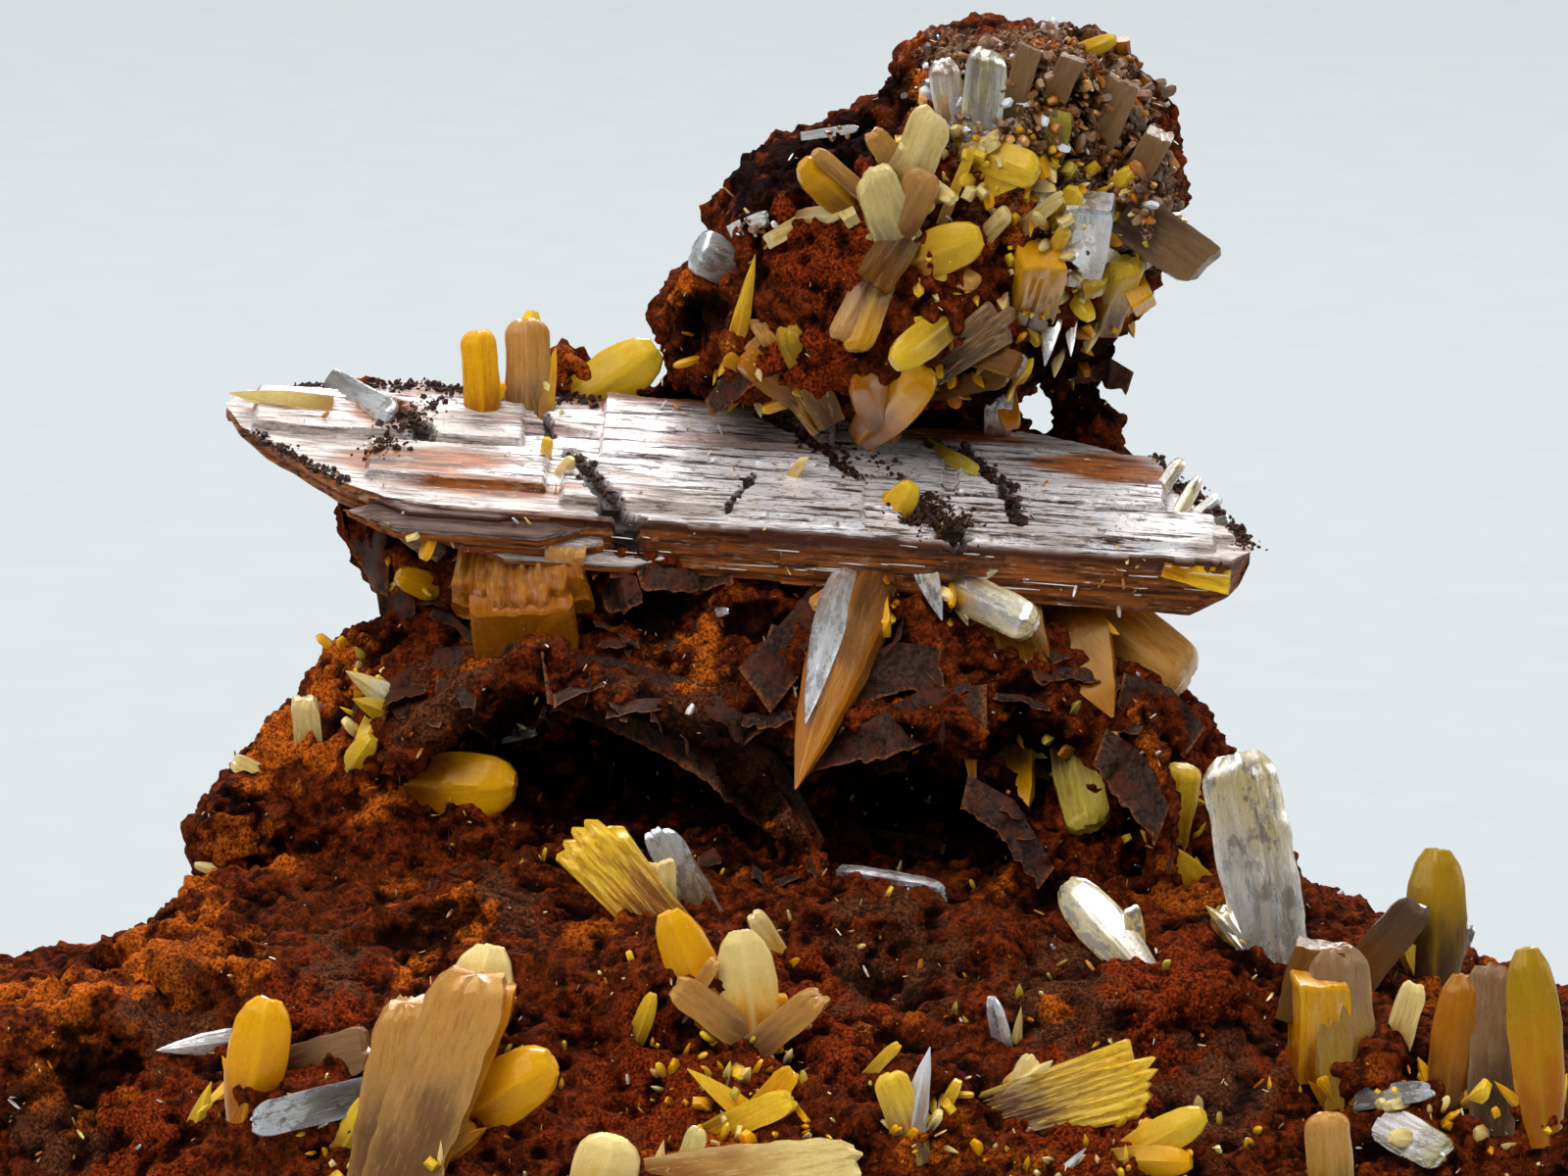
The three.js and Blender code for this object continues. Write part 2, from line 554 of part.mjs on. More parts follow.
const ON_THE_KNOB = [
  { name: 'knob_left_clear_crystal', tint: 'pale', crystals: [
    { root: [-1.5, 27.9], tip: [-2.8, 28.4], width: 1.5, thick: 1.3, habit: 'prism' },
  ] },
  { name: 'knob_left_lens', tint: 'yellow', crystals: [
    { root: [2.0, 29.8], tip: [0.55, 31.0], width: 1.3, thick: 1.0, habit: 'lens', lean: 1.0 },
  ] },
  { name: 'knob_pale_sheaf', tint: 'pale', crystals: [
    { root: [3.3, 29.6], tip: [4.4, 32.6], width: 1.4, thick: 0.9, blades: 3, lean: 1.0 },
    { root: [3.9, 28.7], tip: [2.2, 30.9], width: 1.3, thick: 0.9, habit: 'slab', lean: 1.2 },
    { root: [3.1, 28.9], tip: [4.6, 30.5], width: 1.1, thick: 0.8, habit: 'slab', lean: 1.2 },
  ] },
  { name: 'knob_middle_lens', tint: 'yellow', crystals: [
    { root: [4.7, 28.3], tip: [6.0, 29.0], width: 1.5, thick: 1.0, habit: 'lens', lean: 1.0 },
  ] },
  { name: 'knob_upper_prism', tint: 'yellow', crystals: [
    { root: [5.9, 31.5], tip: [7.9, 30.8], width: 1.1, thick: 0.9, habit: 'prism', lean: 0.9 },
  ] },
  { name: 'knob_olive_block', tint: 'olive', crystals: [
    { root: [7.5, 27.0], tip: [7.9, 28.4], width: 1.5, thick: 1.4, habit: 'block', lean: 0.8, roll: 25 },
  ] },
  { name: 'knob_right_prism', tint: 'olive', crystals: [
    { root: [10.0, 26.8], tip: [10.4, 28.1], width: 1.3, thick: 1.0, habit: 'prism', lean: 1.2 },
  ] },
  { name: 'knob_lower_pair', tint: 'pale', crystals: [
    { root: [2.9, 27.2], tip: [2.2, 25.2], width: 1.0, thick: 0.8, habit: 'prism', lean: 0.6 },
    { root: [2.4, 27.1], tip: [1.6, 25.6], width: 0.8, thick: 0.7, habit: 'prism', lean: 0.6 },
  ] },
  { name: 'knob_bright_lens', tint: 'yellow', crystals: [
    { root: [4.6, 25.9], tip: [3.2, 24.9], width: 1.1, thick: 0.9, habit: 'lens', lean: 1.0 },
  ] },
  { name: 'knob_grey_sheaf', tint: 'brown', crystals: [
    { root: [5.4, 25.3], tip: [7.1, 26.5], width: 1.4, thick: 0.9, blades: 3, lean: 1.0 },
    { root: [5.9, 25.2], tip: [7.4, 24.7], width: 0.9, thick: 0.7, habit: 'slab', lean: 1.0 },
  ] },
  { name: 'knob_foot_pair', tint: 'yellow', foot: [3.0, 23.8], crystals: [
    { root: [2.9, 23.8], tip: [2.35, 22.0], width: 1.3, thick: 1.0, habit: 'prism', lean: 1.6 },
    { root: [2.7, 22.8], tip: [4.5, 24.8], width: 1.3, thick: 1.0, habit: 'prism', lean: 1.2 },
  ] },
  { name: 'knob_spear', tint: 'yellow', crystals: [
    { root: [-1.4, 25.8], tip: [-0.8, 28.2], width: 0.6, thick: 0.5, habit: 'spear', lean: 0.6 },
  ] },
  { name: 'knob_striated_sheaf', tint: 'pale', crystals: [
    { root: [0.7, 23.9], tip: [-1.1, 26.5], width: 1.5, thick: 0.9, blades: 3, lean: 1.2 },
    { root: [1.0, 24.0], tip: [0.0, 26.0], width: 1.0, thick: 0.8, habit: 'slab', lean: 1.4 },
  ] },
  { name: 'knob_grey_tip', tint: 'pale', crystals: [
    { root: [11.3, 28.9], tip: [13.0, 27.7], width: 1.7, thick: 0.9, habit: 'slab', lean: 0 },
  ] },
  { name: 'knob_clear_prism', tint: 'pale', crystals: [
    { root: [9.3, 28.4], tip: [9.9, 30.0], width: 1.4, thick: 1.1, habit: 'prism', lean: 0.8 },
  ] },
];

const UNDER_THE_LATH = [
  { name: 'shelf_block', tint: 'brown', crystals: [
    { root: [-8.0, 19.4], tip: [-8.0, 16.3], width: 4.2, thick: 2.6, habit: 'block', away: 2.0,
      lean: 0.4, roll: 8 },
  ] },
  { name: 'shelf_white_spear', tint: 'pale', crystals: [
    { root: [-10.6, 19.2], tip: [-12.3, 19.9], width: 0.8, thick: 0.6, habit: 'spear', lean: 0.8 },
  ] },
  { name: 'shelf_left_lens', tint: 'yellow', crystals: [
    { root: [-10.9, 18.0], tip: [-11.9, 18.4], width: 0.9, thick: 0.8, habit: 'lens', lean: 0.6 },
  ] },
  { name: 'hanging_dagger', tint: 'brown', crystals: [
    { root: [2.5, 18.0], tip: [0.15, 11.8], width: 2.1, thick: 1.4, habit: 'spear', lean: 4.4, roll: 30 },
  ] },
  { name: 'hanging_pale_tooth', tint: 'pale', crystals: [
    { root: [4.4, 18.3], tip: [4.8, 17.0], width: 0.9, thick: 0.6, habit: 'tooth', lean: 0.5 },
  ] },
  { name: 'hanging_silver_prism', tint: 'pale', crystals: [
    { root: [5.5, 17.9], tip: [7.7, 16.8], width: 1.3, thick: 0.9, habit: 'prism', lean: 1.6 },
  ] },
  { name: 'hanging_brown_plates', tint: 'brown', crystals: [
    { root: [7.2, 16.2], tip: [7.7, 14.0], width: 1.8, thick: 0.9, habit: 'slab', lean: 0.6 },
    { root: [8.2, 16.8], tip: [9.2, 14.1], width: 1.8, thick: 0.9, habit: 'slab', lean: 0.8 },
  ] },
  { name: 'right_golden_prism', tint: 'yellow', crystals: [
    { root: [9.6, 17.2], tip: [12.3, 15.0], width: 2.3, thick: 1.6, habit: 'prism', lean: 0.6 },
  ] },
  { name: 'cavity_triangle', tint: 'olive', crystals: [
    { root: [6.9, 12.9], tip: [7.4, 11.2], width: 1.7, thick: 0.9, habit: 'tooth', lean: 0.6 },
  ] },
  { name: 'cavity_olive_prism', tint: 'olive', crystals: [
    { root: [8.9, 12.7], tip: [9.3, 10.6], width: 1.5, thick: 1.0, habit: 'prism', lean: 0.5 },
  ] },
];

const RIGHT_FOOT = [
  { name: 'right_green_prism', tint: 'olive', crystals: [
    { root: [11.9, 10.9], tip: [12.2, 12.6], width: 1.3, thick: 1.0, habit: 'prism' },
  ] },
  { name: 'right_yellow_tooth', tint: 'yellow', crystals: [
    { root: [12.5, 9.0], tip: [10.9, 10.6], width: 1.3, thick: 0.9, habit: 'tooth', lean: 0.8 },
  ] },
  { name: 'right_tall_slab', tint: 'pale', crystals: [
    { root: [14.7, 7.2], tip: [13.75, 13.1], width: 2.3, thick: 1.6, habit: 'prism', lean: 0.4 },
  ] },
  { name: 'right_white_prism', tint: 'pale', crystals: [
    { root: [10.5, 6.9], tip: [8.6, 9.0], width: 1.5, thick: 1.0, habit: 'prism', lean: -1.5 },
  ] },
  { name: 'middle_white_flake', tint: 'pale', crystals: [
    { root: [2.7, 9.0], tip: [4.9, 8.65], width: 0.8, thick: 0.5, habit: 'slab', lift: 0.5 },
  ] },
  { name: 'right_twin_slab', tint: 'brown', foot: [16.4, 4.0], crystals: [
    { root: [17.0, 2.6], tip: [16.6, 7.2], width: 1.3, thick: 0.9, habit: 'slab', lean: 0.6 },
    { root: [16.0, 4.3], tip: [16.0, 6.4], width: 1.5, thick: 1.3, habit: 'block', lean: 0.8, roll: 20 },
    { root: [15.8, 4.9], tip: [16.1, 7.3], width: 1.3, thick: 0.8, habit: 'slab', lean: 0.4 },
  ] },
  { name: 'right_green_slab', tint: 'olive', crystals: [
    { root: [16.4, 0.2], tip: [16.2, 2.3], width: 1.4, thick: 1.0, habit: 'prism', lean: 0.8 },
  ] },
  { name: 'right_white_flake', tint: 'pale', crystals: [
    { root: [17.6, 2.7], tip: [19.5, 3.0], width: 0.7, thick: 0.45, habit: 'slab', lift: 0.5 },
  ] },
  { name: 'rear_tall_prism', tint: 'yellow', crystals: [
    { root: [19.5, 6.0], tip: [19.9, 10.1], width: 1.9, thick: 1.3, habit: 'prism', lean: 0 },
  ] },
  { name: 'rear_cluster', tint: 'yellow', crystals: [
    { root: [20.3, 3.2], tip: [20.8, 6.4], width: 1.5, thick: 1.2, habit: 'prism', lean: 0.4 },
    { root: [22.4, 2.7], tip: [21.9, 7.2], width: 2.0, thick: 1.3, habit: 'prism', lean: 0.4 },
    { root: [23.4, 1.9], tip: [23.1, 6.4], width: 1.6, thick: 1.2, habit: 'lens', lean: 0.6 },
    { root: [20.6, 3.4], tip: [23.0, 3.4], width: 1.3, thick: 1.0, habit: 'lens', lift: 0.6 },
  ] },
];

const LEFT_SLOPE = [
  { name: 'slope_pale_pair', tint: 'pale', crystals: [
    { root: [-12.2, 14.7], tip: [-13.4, 15.5], width: 0.9, thick: 0.7, habit: 'spear', lean: 0.8 },
    { root: [-12.2, 14.2], tip: [-13.2, 14.6], width: 0.9, thick: 0.7, habit: 'spear', lean: 0.8 },
  ] },
  { name: 'slope_green_lens', tint: 'olive', crystals: [
    { root: [-13.4, 12.3], tip: [-12.5, 13.4], width: 0.9, thick: 0.7, habit: 'lens', lean: 0.6 },
  ] },
  { name: 'cavity_gem', tint: 'yellow', crystals: [
    { root: [-10.6, 12.0], tip: [-8.2, 11.9], width: 2.1, thick: 1.6, habit: 'lens', lift: 0.6 },
  ] },
];

const FRONT_OF_THE_MOUND = [
  { name: 'front_striated_sheaf', tint: 'pale', crystals: [
    { root: [-3.9, 7.8], tip: [-6.7, 11.1], width: 2.3, thick: 1.1, blades: 5, lean: 0.6 },
  ] },
  { name: 'front_white_spears', tint: 'pale', crystals: [
    { root: [-2.5, 8.5], tip: [-3.8, 10.8], width: 0.8, thick: 0.6, habit: 'spear', lean: 0.4 },
    { root: [-2.2, 8.5], tip: [-2.9, 10.3], width: 0.8, thick: 0.6, habit: 'spear', lean: 0.4 },
  ] },
  { name: 'front_cluster', tint: 'yellow', foot: [-1.4, 5.6], crystals: [
    { root: [-2.2, 5.3], tip: [-3.4, 8.3], width: 1.6, thick: 1.2, habit: 'lens', lean: 0.6 },
    { root: [-1.0, 4.8], tip: [-1.4, 7.7], width: 1.7, thick: 1.2, habit: 'prism', lean: 0.6 },
    { root: [-1.3, 4.6], tip: [-3.3, 6.2], width: 1.1, thick: 0.8, habit: 'slab', lean: 1.0 },
    { root: [-0.8, 4.2], tip: [1.1, 5.8], width: 1.0, thick: 0.8, habit: 'slab', lean: 1.0 },
  ] },
  { name: 'front_small_cluster', tint: 'yellow', crystals: [
    { root: [-1.6, 1.9], tip: [0.3, 2.8], width: 1.2, thick: 0.9, habit: 'lens', lean: 0.6 },
    { root: [-1.3, 2.4], tip: [-2.9, 3.6], width: 0.9, thick: 0.8, habit: 'lens', lean: 0.6 },
    { root: [-0.9, 2.2], tip: [0.4, 3.6], width: 0.9, thick: 0.8, habit: 'lens', lean: 0.6 },
  ] },
  { name: 'left_white_spear', tint: 'pale', crystals: [
    { root: [-17.1, 4.3], tip: [-18.9, 4.1], width: 0.8, thick: 0.6, habit: 'spear', lift: 0.5 },
  ] },
  { name: 'left_yellow_lens', tint: 'yellow', crystals: [
    { root: [-16.0, 3.0], tip: [-15.4, 5.7], width: 1.9, thick: 1.3, habit: 'lens', lean: 0.6 },
    { root: [-16.2, 3.3], tip: [-17.7, 2.3], width: 0.7, thick: 0.6, habit: 'spear', lift: 0.5 },
  ] },
  { name: 'left_silver_flake', tint: 'pale', crystals: [
    { root: [-13.5, 2.6], tip: [-16.0, 1.9], width: 1.1, thick: 0.6, habit: 'slab', lift: 0.5 },
  ] },
  { name: 'front_twin', tint: 'brown', crystals: [
    { root: [-11.8, 1.0], tip: [-8.9, 7.2], width: 2.4, thick: 1.6, habit: 'prism', lean: 0.8 },
    { root: [-11.9, 1.2], tip: [-11.5, 5.5], width: 1.8, thick: 1.3, habit: 'prism', lean: 0.8 },
  ] },
  { name: 'front_yellow_oval', tint: 'yellow', crystals: [
    { root: [-9.4, 2.3], tip: [-6.9, 3.8], width: 2.0, thick: 1.4, habit: 'lens', lean: 1.2 },
  ] },
  { name: 'front_low_lens', tint: 'yellow', crystals: [
    { root: [-5.5, 0.0], tip: [-5.0, 1.6], width: 2.1, thick: 1.4, habit: 'lens', lean: 0.8 },
  ] },
  { name: 'front_low_slab', tint: 'pale', crystals: [
    { root: [-3.0, 0.4], tip: [2.4, 1.0], width: 1.6, thick: 0.9, habit: 'slab', lift: 0.6 },
  ] },
  { name: 'front_pale_pair', tint: 'pale', crystals: [
    { root: [3.7, 1.8], tip: [3.1, 3.5], width: 1.1, thick: 0.8, habit: 'prism', lean: 0.6 },
    { root: [3.8, 1.8], tip: [4.2, 4.3], width: 0.9, thick: 0.7, habit: 'spear', lean: 0.6 },
  ] },
  { name: 'front_wide_sheaf', tint: 'pale', crystals: [
    { root: [7.0, 2.1], tip: [11.5, 3.7], width: 2.6, thick: 1.1, blades: 6, lean: 1.4 },
  ] },
  { name: 'front_yellow_pair', tint: 'yellow', crystals: [
    { root: [10.6, 1.2], tip: [12.6, 2.2], width: 1.2, thick: 0.9, habit: 'lens', lean: 0.8 },
    { root: [10.6, 0.9], tip: [12.2, 0.9], width: 1.0, thick: 0.8, habit: 'lens', lift: 0.5 },
  ] },
];

const CLUSTERS = [
  ...ON_THE_LATH, ...ON_THE_KNOB, ...UNDER_THE_LATH, ...RIGHT_FOOT, ...LEFT_SLOPE,
  ...FRONT_OF_THE_MOUND,
];

// ---------------------------------------------------------------- finishes and assembly

const FINISHES = {
  limonite: { color: 0x4a2314, roughness: 0.9, metalness: 0 },
  lath: { color: 0xc9bcae, roughness: 0.16, metalness: 0 },
  yellow: { color: 0xd0a52c, roughness: 0.2, metalness: 0 },
  pale: { color: 0xd9cfb0, roughness: 0.18, metalness: 0 },
  brown: { color: 0xa2682c, roughness: 0.22, metalness: 0 },
  olive: { color: 0x9a8f36, roughness: 0.22, metalness: 0 },
};

function piece(name, solid, finish) {
  const mesh = new THREE.Mesh(toGeometry(solid), new THREE.MeshStandardMaterial(FINISHES[finish]));
  mesh.name = name;
  return mesh;
}

function buildSpecimen() {
  const lath = buildLath();
  const rock = coarsened(coarsened(buildRock(), ROCK_FACET).subtract(lathSlot()), SLIVER);
  const host = Manifold.union([rock, lath]);
  const probe = makeProbe(host);
  const specimen = new THREE.Group();
  specimen.add(piece('limonite_matrix', rock, 'limonite'));
  specimen.add(piece('main_lath', lath, 'lath'));
  CLUSTERS.forEach((cluster) => {
    specimen.add(piece(cluster.name, seated(cluster, host, probe), cluster.tint));
  });
  const middle = new THREE.Box3().setFromObject(specimen).getCenter(new THREE.Vector3());
  specimen.position.set(-middle.x, -middle.y, 0);
  return specimen;
}

export default buildSpecimen();
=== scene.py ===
"""Wulfenite on limonite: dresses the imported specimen, seen close up from its display side.

Lengths are in millimetres until a mesh is made, and meshes are in metres, as the frame is.
"""
import itertools
import json
import math

import bmesh
import bpy
import numpy as np
from mathutils import Matrix, Vector
from mathutils.bvhtree import BVHTree


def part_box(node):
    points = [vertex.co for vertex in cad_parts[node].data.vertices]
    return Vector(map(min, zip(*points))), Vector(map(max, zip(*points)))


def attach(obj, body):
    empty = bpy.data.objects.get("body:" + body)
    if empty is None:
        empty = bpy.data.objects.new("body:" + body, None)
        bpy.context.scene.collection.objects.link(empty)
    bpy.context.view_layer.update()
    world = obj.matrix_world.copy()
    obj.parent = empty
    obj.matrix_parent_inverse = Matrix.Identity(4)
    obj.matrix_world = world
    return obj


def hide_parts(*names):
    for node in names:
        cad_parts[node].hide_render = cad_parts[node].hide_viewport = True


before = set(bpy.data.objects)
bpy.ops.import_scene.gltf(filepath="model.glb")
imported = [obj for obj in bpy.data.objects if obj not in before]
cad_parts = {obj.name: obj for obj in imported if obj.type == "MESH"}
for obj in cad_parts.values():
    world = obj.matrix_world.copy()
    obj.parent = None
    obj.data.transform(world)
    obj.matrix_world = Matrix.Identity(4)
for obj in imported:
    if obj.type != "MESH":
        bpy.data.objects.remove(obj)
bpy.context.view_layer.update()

MM = 0.001
RANDOM = np.random.default_rng(41)

# ---------------------------------------------------------------- display frame

VIEW_TILT = math.radians(10)      # the display side is seen from this far above level
BASE_DROP = 8.0                   # rock below the lowest point of the display side
VIEW_WIDTH = 48.0                 # what the picture spans at the specimen
VIEW_MIDDLE = 18.0                # height of the picture's centre on the display side
LATH_CENTRE = (-1.331, 6.594)     # middle of the lath's box, before the whole was centred

ACROSS = np.array([1.0, 0.0, 0.0])
UP = np.array([0.0, math.sin(VIEW_TILT), math.cos(VIEW_TILT)])
AWAY = np.array([0.0, math.cos(VIEW_TILT), -math.sin(VIEW_TILT)])


def display_origin():
    """Where the display frame starts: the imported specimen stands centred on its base."""
    low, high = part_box("main_lath")
    middle = (np.array(low) + np.array(high)) / (2 * MM)
    return np.array([middle[0] - LATH_CENTRE[0], middle[1] - LATH_CENTRE[1], BASE_DROP])


ORIGIN = display_origin()


def place(across, up, away):
    """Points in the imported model's frame, from where they are on the display side."""
    return (ORIGIN + np.multiply.outer(across, ACROSS) + np.multiply.outer(up, UP)
            + np.multiply.outer(away, AWAY))


def display_coordinates(points):
    """Where points are on the display side: across, up and away from the viewer."""
    offset = points - ORIGIN
    return offset @ ACROSS, offset @ UP, offset @ AWAY


def unit(vector):
    return vector / max(np.linalg.norm(vector), 1e-9)


# ---------------------------------------------------------------- noise

GRADIENTS = np.array([
    (1, 1, 0), (-1, 1, 0), (1, -1, 0), (-1, -1, 0), (1, 0, 1), (-1, 0, 1), (1, 0, -1), (-1, 0, -1),
    (0, 1, 1), (0, -1, 1), (0, 1, -1), (0, -1, -1), (1, 1, 0), (-1, 1, 0), (0, -1, 1), (0, -1, -1),
], float)


def scrambled(cell, seed):
    """A well mixed whole number for each lattice cell."""
    mixed = (cell[..., 0] * 73856093) ^ (cell[..., 1] * 19349663) ^ (cell[..., 2] * 83492791)
    mixed = (mixed ^ (seed * 1013904223)) & 0x7FFFFFFFFFFF
    mixed = ((mixed ^ (mixed >> 13)) * 1274126177) & 0x7FFFFFFFFFFF
    return mixed ^ (mixed >> 16)


def noise(points, wavelength, seed=0):
    """Gradient noise, about -1 to 1. The wavelength may differ along X, Y and Z.

    The seed sets one noise apart from another, here and wherever a call ends with one.
    """
    scaled = points / np.asarray(wavelength, float)
    cell = np.floor(scaled).astype(np.int64)
    inside = scaled - cell
    ease = inside ** 3 * (inside * (inside * 6 - 15) + 10)
    total = np.zeros(len(points))
    for corner in itertools.product((0, 1), repeat=3):
        gradient = GRADIENTS[scrambled(cell + np.array(corner), seed) & 15]
        weight = np.prod(np.where(corner, ease, 1 - ease), axis=1)
        total += weight * np.einsum("ij,ij->i", gradient, inside - np.array(corner))
    return total


def fractal(points, wavelength, octaves, seed=0, gain=0.5):
    """Noise with finer and weaker noise on top of it."""
    total = np.zeros(len(points))
    for octave in range(octaves):
        step = np.asarray(wavelength, float) / 2.1 ** octave
        total += gain ** octave * noise(points, step, seed + octave)
    return total


def cells(points, wavelength, seed=0):
    """Distance to the nearest point of a jittered lattice, and that point's own share of 1."""
    scaled = points / wavelength
    cell = np.floor(scaled).astype(np.int64)
    nearest = np.full(len(points), 9.0)
    chosen = np.zeros(len(points))
    for step in itertools.product((-1, 0, 1), repeat=3):
        neighbour = cell + np.array(step)
        mixed = scrambled(neighbour, seed)
        jitter = np.stack([(mixed >> shift) & 1023 for shift in (0, 10, 20)], axis=1) / 1023
        distance = np.linalg.norm(neighbour + jitter - scaled, axis=1)
        chosen = np.where(distance < nearest, ((mixed >> 4) & 255) / 255, chosen)
        nearest = np.minimum(nearest, distance)
    return nearest, chosen


def smoothstep(low, high, value):
    share = np.clip((value - low) / (high - low), 0, 1)
    return share * share * (3 - 2 * share)


# ---------------------------------------------------------------- meshes and pieces

def fetched(rows, key, columns=1):
    """One value, or a row of values, for each vertex, corner or face of a mesh."""
    values = np.zeros(len(rows) * columns, float if columns > 1 else np.int64)
    rows.foreach_get(key, values)
    return values.reshape(-1, columns) if columns > 1 else values


def new_mesh(name, vertices, faces):
    """A mesh in metres from millimetre vertices and a list of face arrays of 3 or 4 columns."""
    mesh = bpy.data.meshes.new(name)
    faces = [np.asarray(part, np.int64) for part in faces if len(part)]
    sizes = np.concatenate([np.full(len(part), part.shape[1]) for part in faces])
    corners = np.concatenate([part.ravel() for part in faces])
    mesh.vertices.add(len(vertices))
    mesh.vertices.foreach_set("co", (np.asarray(vertices) * MM).astype(np.float32).ravel())
    mesh.loops.add(len(corners))
    mesh.loops.foreach_set("vertex_index", corners.astype(np.int32))
    mesh.polygons.add(len(sizes))
    starts = np.concatenate([[0], np.cumsum(sizes)[:-1]])
    mesh.polygons.foreach_set("loop_start", starts.astype(np.int32))
    mesh.update(calc_edges=True)
    mesh.validate()
    return mesh


def add_attributes(mesh, attributes):
    for name, values in attributes.items():
        kind = "FLOAT" if np.ndim(values) == 1 else "FLOAT_VECTOR"
        attribute = mesh.attributes.new(name, kind, "POINT")
        key = "value" if kind == "FLOAT" else "vector"
        attribute.data.foreach_set(key, np.asarray(values, np.float32).ravel())


def add_piece(mesh, material, nodes=(), sharp=None):
    """Puts a mesh in the scene as a piece of the specimen, in place of the nodes it stands for."""
    mesh.materials.append(material)
    mesh.shade_smooth()
    if sharp is not None:
        mesh.set_sharp_from_angle(angle=math.radians(sharp))
    piece = bpy.data.objects.new(mesh.name, mesh)
    bpy.context.scene.collection.objects.link(piece)
    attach(piece, "root")
    if nodes:
        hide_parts(*nodes)
    return piece


def node_tree(name):
    """A tree that finds the surface of a CAD node, in millimetres."""
    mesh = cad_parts[name].data
    points = fetched(mesh.vertices, "co", 3) / MM
    faces = [tuple(polygon.vertices) for polygon in mesh.polygons]
    return BVHTree.FromPolygons([tuple(point) for point in points], faces)


def surface_at(trees, across, up, start=-60.0):
    """The first surface along the line of sight, as (away, point, normal), or None."""
    eye = place(across, up, start)
    best = None
    for tree in trees:
        point, normal, _, distance = tree.ray_cast(Vector(eye), Vector(AWAY))
        if point is not None and (best is None or distance < best[0] - start):
            best = (distance + start, np.array(point), np.array(normal))
    return best


# ---------------------------------------------------------------- rock

VOXEL = 0.25                  # cell of the rock's even mesh, halved where the display side shows
ROUNDING_PASSES = 3
SHOWN_HALF_WIDTH = 25.0       # the rock is fine this far either side of the middle,
SHOWN_UP = (-1.5, 37.0)       # between these heights,
SHOWN_FACING = -0.25          # and where it is turned to the viewer at least this much
PILLAR_UP, HEAD_UP = 9.6, 19  # heights on the display side where the pillar and the head begin
BACK_AWAY = 1.5               # rock below the pillar is the back from here on
SETTLED = 1.0                 # the relief fades out below this height over the base

# Places on the display side: (across, up, radius).
ORANGE_POWDER = [
    (-22.9, 6.3, 1.5), (-20.7, 6.6, 1.1), (-19.6, 6.8, 1.3), (-16.5, 7.1, 1.1), (-17.9, 8.6, 0.9),
    (-12.9, 9.0, 0.9), (-11.2, 6.8, 1.1), (-9.9, 8.1, 1.0), (-12.5, 11.3, 0.8), (-9.6, 13.2, 0.7),
    (-13.5, 16.0, 1.2), (-14.1, 15.0, 1.1), (-15.3, 13.8, 1.2), (-16.0, 12.8, 1.0),
    (-14.4, 13.0, 1.0), (6.7, 9.2, 0.6), (8.2, 5.4, 0.45), (-2.2, 18.3, 0.9), (-3.0, 15.8, 1.3),
    (4.1, 33.3, 0.8),
    (7.1, 29.4, 1.0), (8.2, 33.2, 1.2), (-3.3, 27.1, 0.6), (12.6, 14.0, 1.2), (4.2, 1.1, 0.8),
    (3.6, 15.0, 0.6), (-2.4, 16.6, 0.7), (-21.5, 5.4, 1.0), (-15.4, 9.8, 0.7),
]
RED_EARTH = [
    (-19.8, 1.3, 2.2), (2.0, 28.4, 2.4), (0.6, 25.0, 1.6), (-4.0, 3.4, 2.6), (1.0, 5.6, 2.6),
    (11.0, 6.2, 2.6), (-14.2, 5.2, 2.0), (9.0, 2.6, 2.4), (15.0, 10.6, 1.6),
]
GREY_SKIN = [
    (-18.6, 5.6, 1.8), (-8.4, 8.8, 1.6), (-13.4, 7.0, 1.4), (3.4, 7.6, 2.6), (8.4, 5.8, 2.0),
    (-22.0, 2.0, 1.6), (-10.6, 14.4, 1.8), (-3.6, 14.6, 2.0), (0.2, 11.6, 1.6), (13.4, 3.0, 2.0),
]
GREY_DRUSE = [(8.4, 32.8, 3.6), (10.6, 30.4, 2.2), (5.0, 34.4, 1.4), (11.2, 28.4, 1.6),
              (6.2, 33.0, 1.4)]
# Painted shade: hollows where the rock's colour is darkened almost to black.
PAINTED_SHADE_HOLLOWS = [
    (-5.0, 12.6, 2.6), (-1.6, 12.0, 2.4), (3.2, 11.6, 2.4), (6.0, 10.9, 2.0), (-8.4, 12.9, 1.6),
    (-3.8, 17.6, 1.2), (7.6, 13.0, 1.6), (-20.9, 3.4, 1.1), (-1.4, 31.0, 1.0), (4.4, 22.6, 1.4),
    (-11.4, 20.4, 1.6), (9.8, 24.6, 1.6), (0.4, 31.0, 1.5), (2.0, 32.0, 1.1), (-1.0, 29.8, 0.9),
    (3.2, 33.4, 0.7), (-2.4, 26.4, 0.9), (8.0, 25.2, 1.1), (6.2, 24.2, 1.0),
]
GRAPE_LUMPS = [(-16.5, 10.4, 2.2), (-14.6, 12.6, 1.8), (-12.6, 10.6, 1.6), (-20.0, 6.6, 2.2)]


def patches(shown, spots, ragged, reach=3.2):
    """How far each point lies inside the nearest of the spots, 0 to 1, with ragged edges.

    A patch goes back from its foremost point by its radius times the reach.
    """
    across, up, away = shown
    edge = (1 + ragged).clip(0.3)
    mask = np.zeros(len(across))
    for at_across, at_up, radius in spots:
        aside = np.hypot(across - at_across, up - at_up) / (radius * edge)
        foremost = away[aside < 1].min(initial=math.inf)
        distance = np.hypot(aside, (away - foremost) / (reach * radius * edge))
        mask = np.maximum(mask, 1 - smoothstep(0.75, 1.1, distance))
    return mask


